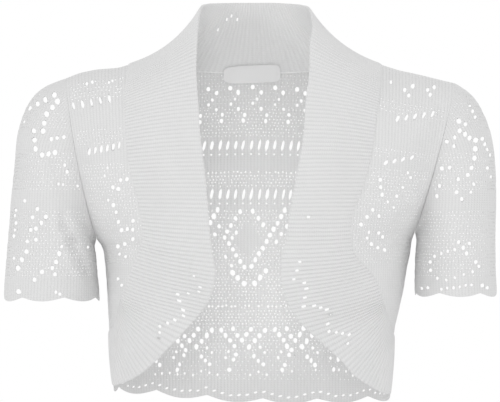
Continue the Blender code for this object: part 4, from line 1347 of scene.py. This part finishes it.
# %% Charts of the fronts
LEFT_FRONT = strokes(
    (-167, -18, -161, -16, 2, 3.6), (-145, -16, -141, -15, 2, 2.8), (-128, -96, -128, -96, 1, 4.2),
    (-133, -114, -126, -114, 2, 4.6), (-140, -122, -135, -123, 2, 4.6), (-140, -139, -137, -146, 2, 4.4),
    (-138, -150, -135, -156, 2, 4.2), (-132, -164, -126, -163, 2, 4.4), (-120, -155, -121, -173, 3, 4.2),
    (-136, -180, -129, -178, 2, 4.2), (-145, -134, -144, -141, 2, 3.2), (-136, -213, -132, -219, 2, 3.2),
    (-134, -188, -128, -190, 2, 3.4), (-146, -102, -149, -110, 2, 3.0),
)
RIGHT_FRONT = strokes(
    (150, -24, 158, -20, 2, 4.4), (154, -29, 154, -29, 1, 4.4), (173, -24, 180, -21, 2, 4.2),
    (176, -29, 176, -29, 1, 4.4), (137, -16, 137, -16, 1, 3.4), (125, -114, 127, -129, 3, 4.4),
    (106, -158, 118, -144, 3, 4.4), (124, -150, 124, -150, 1, 4.2), (124, -167, 128, -171, 2, 4.0),
    (117, -178, 130, -184, 3, 4.2), (148, -122, 142, -130, 2, 3.6), (153, -107, 156, -112, 2, 3.4),
    (112, -172, 114, -166, 2, 3.4), (133, -136, 139, -142, 2, 3.2),
)
SLIT_ROWS = {
    "left": ((-180, -40, -144, -33, 5, 8, 8.2), (-164, -86, -134, -80, 6, -9, 8.6)),
    "right": ((143, -53, 178, -48, 5, 24, 7.4), (131, -97, 157, -92, 4, 40, 6.4)),
}
FRONT_NETS = {
    "left": ((12, 32, 1.5), (62, 76, 1.3), (98, 200, 1.4)),
    "right": ((34, 47, 1.3), (84, 92, 1.3), (104, 196, 1.4)),
}
FRONT_CHARTS = {"left": LEFT_FRONT, "right": RIGHT_FRONT}
FRONT_NET_PITCH = (4.1, 3.4)


def slit_row(place, *line, lean, tall):
    """Slits side by side along a line seen from the front."""
    return [
        (*place(x, z), SLIT_WIDTH * (1 + 0.15 * waver(i + line[0])), tall, lean, SLIT_CORNERS)
        for i, (x, z) in enumerate(stroke(*line))
    ]


def front_openings(side):
    """Openings of a front, and the same ones in the back, as they are cut."""
    cloth = CLOTHS[side]
    place = place_on(cloth, 0.0)
    holes = eyelets_along(FRONT_CHARTS[side], place)
    for *line, lean, tall in SLIT_ROWS[side]:
        holes += slit_row(place, *line, lean=lean, tall=tall)
    for top, bottom, size in FRONT_NETS[side]:
        holes += net(cloth, top, bottom, *FRONT_NET_PITCH, size)
    back = CLOTHS["back"]
    return see_through(
        holes, cloth, FRONT_OUTLINES[side], back, BACK_OUTLINE, place_on(back), mirrored=side == "left"
    )


FRONT_OPENINGS = {side: front_openings(side) for side in SIDES}
print("openings in the fronts:", [len(FRONT_OPENINGS[side][0]) for side in SIDES])

# %% Make the fronts
CUTS = {}
for side in SIDES:
    piece_name = "lace_front_" + side
    openings = FRONT_OPENINGS[side][0]
    CUTS[piece_name] = lace_piece(piece_name, CLOTHS[side], FRONT_OUTLINES[side], openings)

# %% [markdown]
# ## The lace back
# The back is the largest piece. From the neck down it has zigzags of small eyelets over a fine net,
# two ladders of slits, large double diamonds, a row of X figures, and a row of small slanted eyelets
# over the scalloped hem. Each figure is charted once, as short strokes of eyelets about its middle,
# and is repeated across the whole panel. One tile in an Array modifier would not do, because the
# figures differ in width, and the panel is shaped at the neck and the armholes.

# %% Chart of the back
ZIGZAG = strokes(
    (0, 0, 8, 4, 2, 4.8), (4, 10.5, 0, 15, 2, 3.2), (8, 19.5, 14, 25, 2, 3.8), (13, 31, 13, 31, 1, 4.4),
)
DIAMOND = strokes(
    (38, -30, 5, 26, 10, 5.2), (-34, -21, -3, 27, 9, 4.9), (-7, -28, -25, -3, 5, 4.7),
    (6, -29, 21, -9, 4, 4.7), (-11, -8, -18, 3, 3, 4.1), (-15, 33, -3, 43, 3, 5.8),
    (19, 31, 8, 43, 3, 5.8), (40, -14, 30, 1, 3, 4.4), (-22, 17, -16, 25, 2, 4.0),
)
CROSS = strokes(
    (-20, -14, -7, 2, 4, 5.2), (-8, -15, -4, -8, 2, 4.8), (10, -15, 1, -3, 3, 5.2),
    (24, -14, 8, 3, 4, 5.4), (17, -13, 12, -6, 2, 4.6), (-3, 6, -12, 26, 5, 4.7),
    (9, 9, 22, 21, 4, 4.4), (-13, 8, -16, 14, 2, 3.4), (19, 4, 24, 9, 2, 3.4),
)
# Each row of figures: its strokes, its pitch, its middle, its level and how many stand on each side.
CROSSES = (CROSS, 54.0, -13.0, 279.0, 3)
DIAMONDS = (DIAMOND, 68.0, -7.0, 175.0, 3)
ZIGZAGS = (ZIGZAG, 22.5, -1.0, 30.0, 7)


def figures(table, pitch, middle, level, on_each_side):
    """A figure of eyelets repeated along a row."""
    holes = []
    for number in range(-on_each_side, on_each_side + 1):
        centre = number * pitch + middle
        holes += eyelets_along(table, lambda x, y: (centre + x, level + y))
    return holes

# %% [markdown]
# The two ladders are rows of tall slits that lean a little, each with a dot under its foot. Plain nets
# fill the bands between the figures, and leave the middles of the large diamonds closed.

# %% Ladders, hem and nets of the back
LADDER_LEVELS = (83.7, 130.2)
LADDER_START = -170.5
LADDER_END = 172.0
LADDER_PITCH = 8.0
LADDER_LEAN = 12.0
LADDER_SLIT = 10.8
LADDER_DOT = (2.3, 2.0, 0, NET_CORNERS)
DOT_BELOW = 3.4
HEM_REACH = 200
HEM_EYELET_PITCH = 8.4
HEM_EYELET = (4.6, 2.2, -16, NET_CORNERS)
HEM_EYELETS_UP = 7.0
HEM_DOT_LEVEL = 308
HEM_DOT = 2.8
# Each net: its top and bottom level, its pitch across and down, and the size of its openings.
BACK_NETS = (
    (241, 241.5, 4.6, 3, 2.7), (109.5, 110, 4.2, 3, 1.9), (8, 50, 3.9, 3.3, 1.1),
    (50, 76, 3.6, 3.1, 1.35), (113, 123, 3.6, 3.1, 1.4), (146, 214, 3.8, 3.3, 1.3),
    (214, 262, 3.7, 3.2, 1.5), (262, 288, 3.9, 3.4, 1.3), (288, 318, 5.6, 4.4, 1.15),
)


def ladder(level):
    """A row of tall leaning slits, with a dot under each."""
    holes = []
    for i in range(int((LADDER_END - LADDER_START) / LADDER_PITCH) + 1):
        u = LADDER_START + i * LADDER_PITCH + LOOSENESS * waver(i + level)
        width = SLIT_WIDTH * (1 + 0.12 * waver(i + 9))
        tall = LADDER_SLIT * (1 + 0.09 * waver(i * 3 + level))
        holes.append((u, level, width, tall, LADDER_LEAN, SLIT_CORNERS))
        holes.append((u - LADDER_LEAN / 16, level + LADDER_SLIT / 2 + DOT_BELOW, *LADDER_DOT))
    return holes


def hem_eyelets():
    """Small slanted eyelets just over the hem, and loose dots above them."""
    holes = []
    for u in np.arange(-HEM_REACH, HEM_REACH, HEM_EYELET_PITCH):
        holes.append((u, float(hem_drop(u)) - HEM_EYELETS_UP + 0.8 * waver(u), *HEM_EYELET))
        if waver(u * 3) > 0:
            holes.append(eyelet(u + 3, HEM_DOT_LEVEL + 3 * waver(u + 5), HEM_DOT))
    return holes


def outside_diamonds(u, v):
    """Whether a point lies outside the plain middles of the large diamonds."""
    _, pitch, middle, level, _ = DIAMONDS
    off = (u - middle + pitch / 2) % pitch - pitch / 2
    return abs(off) / 15 + abs(v - level + 2) / 18 >= 1


def back_chart():
    """All the openings of the back, the ones that matter most first."""
    cloth = CLOTHS["back"]
    place = place_on(cloth)
    holes = FRONT_OPENINGS["left"][1] + FRONT_OPENINGS["right"][1]
    for middle, size in TRAIL_PLACES:
        holes.append(as_cut(cloth, eyelet(*place(*seen_behind(*middle)), size * TRAIL_BEHIND)))
    holes += figures(*CROSSES) + figures(*DIAMONDS)
    for level in LADDER_LEVELS:
        holes += ladder(level)
    holes += figures(*ZIGZAGS) + hem_eyelets()
    for row in BACK_NETS:
        holes += net(cloth, *row, wanted=outside_diamonds)
    return holes


BACK_OPENINGS = back_chart()
print("openings charted for the back:", len(BACK_OPENINGS))

# %% Make the back
CUTS["lace_back"] = lace_piece("lace_back", CLOTHS["back"], BACK_OUTLINE, BACK_OPENINGS)

# %% [markdown]
# ## The lace sleeves
# Each sleeve stands for two solids of the frame, its front and its back half, because the real one is
# a single piece. Diamonds of large eyelets sit over the upper arm and again above the scalloped hem.
# The hidden back half gets the same figures, set where they show through the ones in front. They are
# charted by their places in the front view, which keeps them true where the sleeve turns away.

# %% Charts of the sleeves
LEFT_SLEEVE = strokes(
    (-224, -42, -200, -29, 4, 5.6), (-198, -24, -198, -24, 1, 4.0), (-196, -35, -207, -48, 3, 6.2),
    (-209, -57, -210, -65, 2, 6.0), (-220, -65, -218, -83, 3, 5.6), (-202, -73, -183, -71, 4, 4.8),
    (-211, -89, -198, -87, 3, 5.8), (-230, -56, -230, -56, 1, 3.8), (-188, -99, -186, -106, 2, 4.0),
    (-194, -118, -190, -119, 2, 3.0), (-175, -120, -172, -121, 2, 3.2), (-229, -135, -229, -135, 1, 3.6),
    (-238, -144, -239, -149, 2, 4.0), (-238, -157, -240, -170, 3, 3.8), (-216, -143, -221, -151, 2, 4.6),
    (-207, -151, -217, -162, 3, 5.0), (-223, -164, -217, -173, 2, 4.6), (-226, -175, -226, -175, 1, 4.0),
    (-227, -185, -236, -202, 3, 5.4), (-240, -192, -240, -192, 1, 3.6), (-194, -187, -197, -196, 2, 5.4),
    (-191, -180, -191, -180, 1, 3.6), (-201, -202, -198, -208, 2, 4.6), (-211, -206, -219, -213, 3, 5.0),
    (-165, -181, -165, -181, 1, 3.2), (-235, -225, -235, -225, 1, 5.2), (-197, -226, -188, -229, 3, 3.6),
)
RIGHT_SLEEVE = strokes(
    (204, -55, 205, -65, 2, 6.0), (211, -58, 216, -60, 2, 4.8), (210, -68, 215, -72, 2, 5.2),
    (221, -74, 221, -83, 2, 6.2), (220, -92, 217, -102, 2, 5.4), (213, -109, 213, -109, 1, 4.6),
    (219, -118, 216, -126, 2, 4.0), (216, -40, 221, -51, 3, 3.6), (228, -73, 236, -89, 4, 4.0),
    (233, -102, 237, -111, 2, 3.6), (194, -59, 192, -76, 3, 4.6), (200, -72, 199, -80, 2, 4.4),
    (184, -91, 184, -91, 1, 4.8), (180, -86, 182, -100, 2, 4.0), (187, -103, 194, -102, 2, 4.6),
    (198, -106, 203, -113, 2, 5.0), (184, -120, 182, -130, 2, 4.4), (201, -126, 207, -133, 2, 5.0),
    (210, -131, 210, -131, 1, 5.0), (179, -190, 200, -183, 4, 3.6), (175, -196, 175, -204, 3, 3.8),
    (177, -208, 182, -212, 2, 3.6), (204, -176, 212, -187, 3, 4.4), (215, -177, 215, -177, 1, 4.0),
    (221, -196, 224, -200, 2, 4.0), (191, -214, 218, -205, 4, 3.2), (186, -223, 217, -218, 6, 3.4),
    (167, -222, 173, -221, 2, 3.4), (228, -219, 233, -221, 2, 4.0),
)
SLEEVE_CHARTS = {"left": LEFT_SLEEVE, "right": RIGHT_SLEEVE}
SLEEVE_NETS = ((30, 62, 1.3), (88, 124, 1.4), (146, 212, 1.4))
SLEEVE_NET_PITCH = (4.2, 3.5)


def sleeve_outline(side):
    """From the top of the cap down the front armhole and underarm, along the hem, and up behind."""
    cloth = SLEEVE_CLOTHS[side]
    arms = {face: armhole_levels(side, face, "level") for face in FACES}
    front, back = arms["front"], arms["back"]
    inner = cloth.edge(SLEEVE_HEM[side], "end"), cloth.edge(SLEEVE_HEM[side], "start")
    corners = [float(sleeve_hem_level(side, u)) for u in inner]
    outline = [(0.0, front[0] + 0.05)]
    outline += side_line(cloth, "end", front[1:] + steps_between(front[-1], corners[0])[1:])
    outline += [(u, float(sleeve_hem_level(side, u))) for u in steps_between(*inner, HEM_STEP)[1:-1]]
    outline += side_line(cloth, "start", steps_between(corners[1], back[-1])[:-1] + back[:0:-1])
    return np.array(outline)


def sleeve_chart(side, outline):
    """The openings of a sleeve, charted for its front half and repeated behind."""
    cloth = SLEEVE_CLOTHS[side]
    seen = eyelets_along(SLEEVE_CHARTS[side], place_on(cloth, 0.0, body=False))
    for top, bottom, size in SLEEVE_NETS:
        seen += net(cloth, top, bottom, *SLEEVE_NET_PITCH, size, start=0.0)
    place = place_on(cloth, last=0.0, body=False)
    front, behind = see_through(seen, cloth, outline, cloth, outline, place)
    return front + behind

# %% Make the sleeves
for side in SIDES:
    piece_name = "lace_sleeve_" + side
    outline = sleeve_outline(side)
    openings = sleeve_chart(side, outline)
    CUTS[piece_name] = lace_piece(piece_name, SLEEVE_CLOTHS[side], outline, openings)

# %% [markdown]
# ## The ribbed band
# A rib is a column of knit stitches between two columns of purl, which sink behind it. The ribs run
# across the band, so it stretches along its length and lies flat. They show on both faces, so here
# both skins are ribbed, half a rib apart, and both edges of the band are thinned. A bump map could
# draw the ribs, but they are deep enough to show at the edge of the band, so they are modelled.

# %% Make the band
BAND_WALL = 2.0
RIB_HEIGHT = 0.95
INNER_RIB = 0.7
RIB_ROUNDNESS = 0.8
EDGE_THINNING = 0.55
EDGE_PART = 0.03
RIB_NAMES = {"band_left": "rib_band_left", "band_back": "rib_collar", "band_right": "rib_band_right"}
RIB_YARN = knit_finish("rib_yarn", YARN_WHITE, RIB_PITCH, 0.6, 0.08)


def rib_piece(name, band_name):
    """A length of the band with ribs on both faces, its eyelets open, and both edges thinned."""
    first, last = SPANS[band_name]
    form = BAND_FORM[first:last].copy()
    normal = BAND_NORMALS[first:last].copy()
    rows, columns, _ = form.shape
    opened = set()
    for row, column, middle, size in trail_places(band_name):
        open_eyelet(form, row, column, middle, size * TRAIL_SCALE)
        opened |= {(r, column) for r in range(row - EYELET_ROWS, row + EYELET_ROWS)}
        block = normal[row - EYELET_ROWS:row + EYELET_ROWS + 1, column:column + 2]
        nought = 0 * block[..., 1]
        block[:] = np.stack((nought, 1 / block[..., 1], nought), axis=2)
    phase = (np.arange(rows) % RIB_ROWS) / RIB_ROWS
    ridge = np.sin(math.pi * phase) ** RIB_ROUNDNESS
    furrow = np.cos(math.pi * phase) ** 2
    to_edge = np.minimum(BAND_ACROSS, 1 - BAND_ACROSS)
    thin = EDGE_THINNING * (1 - np.clip(to_edge / EDGE_PART, 0, 1)) ** 2
    raised = RIB_HEIGHT * ridge[:, None] - thin[None, :]
    sunk = BAND_WALL + INNER_RIB * (furrow[:, None] - 0.5) - thin[None, :]
    outer = folded(form + normal * raised[..., None]).reshape(-1, 3)
    inner = folded(form - normal * sunk[..., None]).reshape(-1, 3)
    faces = grid_faces(rows, columns, opened)
    sample = faces[len(faces) // 2]
    a, b, _, d = outer[list(sample)]
    if np.cross(b - a, d - a) @ normal.reshape(-1, 3)[sample[0]] < 0:
        faces = [face[::-1] for face in faces]
    widths = np.linalg.norm(form[:, -1] - form[:, 0], axis=1)
    along = np.broadcast_to((np.arange(rows) * RIB_PITCH / RIB_ROWS)[:, None], (rows, columns))
    stitches = np.stack((along, BAND_ACROSS[None, :] * widths[:, None]), axis=2).reshape(-1, 2)
    verts, solid = wall_from(outer, inner, faces)
    piece = cloth_piece(name, verts, solid, stitches, RIB_YARN)
    length = lengths((form[:, 0] + form[:, -1]) / 2)[-1]
    width = widths.max()
    quads = np.array(faces)
    area = area_of(outer, quads[:, :3]) + area_of(outer, quads[:, [0, 2, 3]])
    print(f"{name}: {len(opened) // (2 * EYELET_ROWS)} eyelets, {len(solid)} faces")
    return piece, (width * MM, length * MM), min(area, width * length) * MM * MM


for band_name, piece_name in RIB_NAMES.items():
    CUTS[piece_name] = rib_piece(piece_name, band_name)

# %% [markdown]
# ## The neck label
# A small woven tape hangs inside the back neck, sewn into the collar seam along its upper edge. It is
# blank. Satin tape is smoother than the knitting, so it gets a fine weave and more shine. It is too
# short to need a cloth simulation, and a slight curl away from the back is enough.

# %% Label
LABEL_HALF_WIDTH = 28.5
LABEL_TOP = 1.2
LABEL_BOTTOM = -16.5
LABEL_CENTRE = -2.0
LABEL_TILT = 0.04
LABEL_CLEARANCE = 0.45
LABEL_WALL = 0.8
LABEL_HEM = 0.35
LABEL_FOLD = 3.0
TAPE_WHITE = (0.82, 0.82, 0.82)
TAPE_THREAD = 0.5


def tape_finish(name, colour, thread):
    """Woven satin tape: fine threads both ways, thread millimetres apart."""
    finish = plain_finish(name, colour, 0.6)
    tree = finish.node_tree
    turns = 2 * math.pi / (thread * MM)
    waves = [worked(tree, "SINE", worked(tree, "MULTIPLY", axis, turns)) for axis in stitch_axes(tree)]
    emboss(tree, worked(tree, "MULTIPLY", *waves), 0.3, 0.1)
    tree.nodes["Principled BSDF"].inputs["Sheen Weight"].default_value = 0.2
    return finish


def neck_label():
    """A blank tape with rounded, folded ends, hung just inside the collar seam."""
    xs = np.linspace(-LABEL_HALF_WIDTH, LABEL_HALF_WIDTH, 41) + LABEL_CENTRE
    part = (xs - LABEL_CENTRE) / LABEL_HALF_WIDTH
    roundness = np.where(part < 0, 4, 9)
    rounded = 0.45 + 0.55 * np.sqrt(1 - np.abs(part) ** roundness)
    middle = (LABEL_TOP + LABEL_BOTTOM) / 2
    levels = np.linspace(LABEL_TOP, LABEL_BOTTOM, 11)
    zs = middle + (levels - middle)[:, None] * rounded[None, :]
    first, last = SPANS["band_back"]
    seam = SEAM_LINE[first:last]
    lip = BAND_WALL + SEAM_SINK + LABEL_CLEARANCE
    y = np.interp(xs, seam[:, 0], seam[:, 1]) - lip
    down = (LABEL_TOP - zs) / (LABEL_TOP - LABEL_BOTTOM)
    curl = 1.2 * down**2 * (1 + 0.6 * np.sin(xs[None, :] / 7))
    across = np.broadcast_to(xs, zs.shape)
    grid = np.stack((across, y[None, :] - curl, zs + xs[None, :] * LABEL_TILT), axis=2)
    folded_end = np.abs(xs - LABEL_CENTRE) > LABEL_HALF_WIDTH - LABEL_FOLD
    thick = LABEL_WALL + LABEL_HEM * folded_end
    front = grid - np.stack((0 * thick, thick, 0 * thick), axis=1)[None]
    stitches = grid[..., [0, 2]].reshape(-1, 2)
    faces = grid_faces(len(levels), len(xs))
    verts, solid = wall_from(front.reshape(-1, 3), grid.reshape(-1, 3), faces)
    tape = tape_finish("label_tape", TAPE_WHITE, TAPE_THREAD)
    piece = cloth_piece("neck_tape", verts, solid, stitches, tape)
    size = (2 * LABEL_HALF_WIDTH * MM, (LABEL_TOP - LABEL_BOTTOM) * MM)
    return piece, size, size[0] * size[1]


CUTS["neck_tape"] = neck_label()
print("label:", 2 * LABEL_HALF_WIDTH, "by", LABEL_TOP - LABEL_BOTTOM, "mm")

# %% [markdown]
# ## What each piece is
# The last cell says what every piece stands for in the imported model, hides those solids, and prints
# how many triangles each piece has and how large it was cut.

STANDS_FOR = {
    "lace_back": ("back_panel",),
    "lace_front_left": ("front_left",),
    "lace_front_right": ("front_right",),
    "lace_sleeve_left": ("sleeve_left_front", "sleeve_left_back"),
    "lace_sleeve_right": ("sleeve_right_front", "sleeve_right_back"),
    "rib_band_left": ("band_left",),
    "rib_collar": ("band_back",),
    "rib_band_right": ("band_right",),
    "neck_tape": ("neck_label",),
}
for piece_name, (piece, flat_size, flat_area) in CUTS.items():
    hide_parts(*STANDS_FOR[piece_name])
    triangles = sum(len(face.vertices) - 2 for face in piece.data.polygons)
    print(f"{piece_name}: {triangles} triangles, cut area {flat_area * 10000:.0f} cm2")
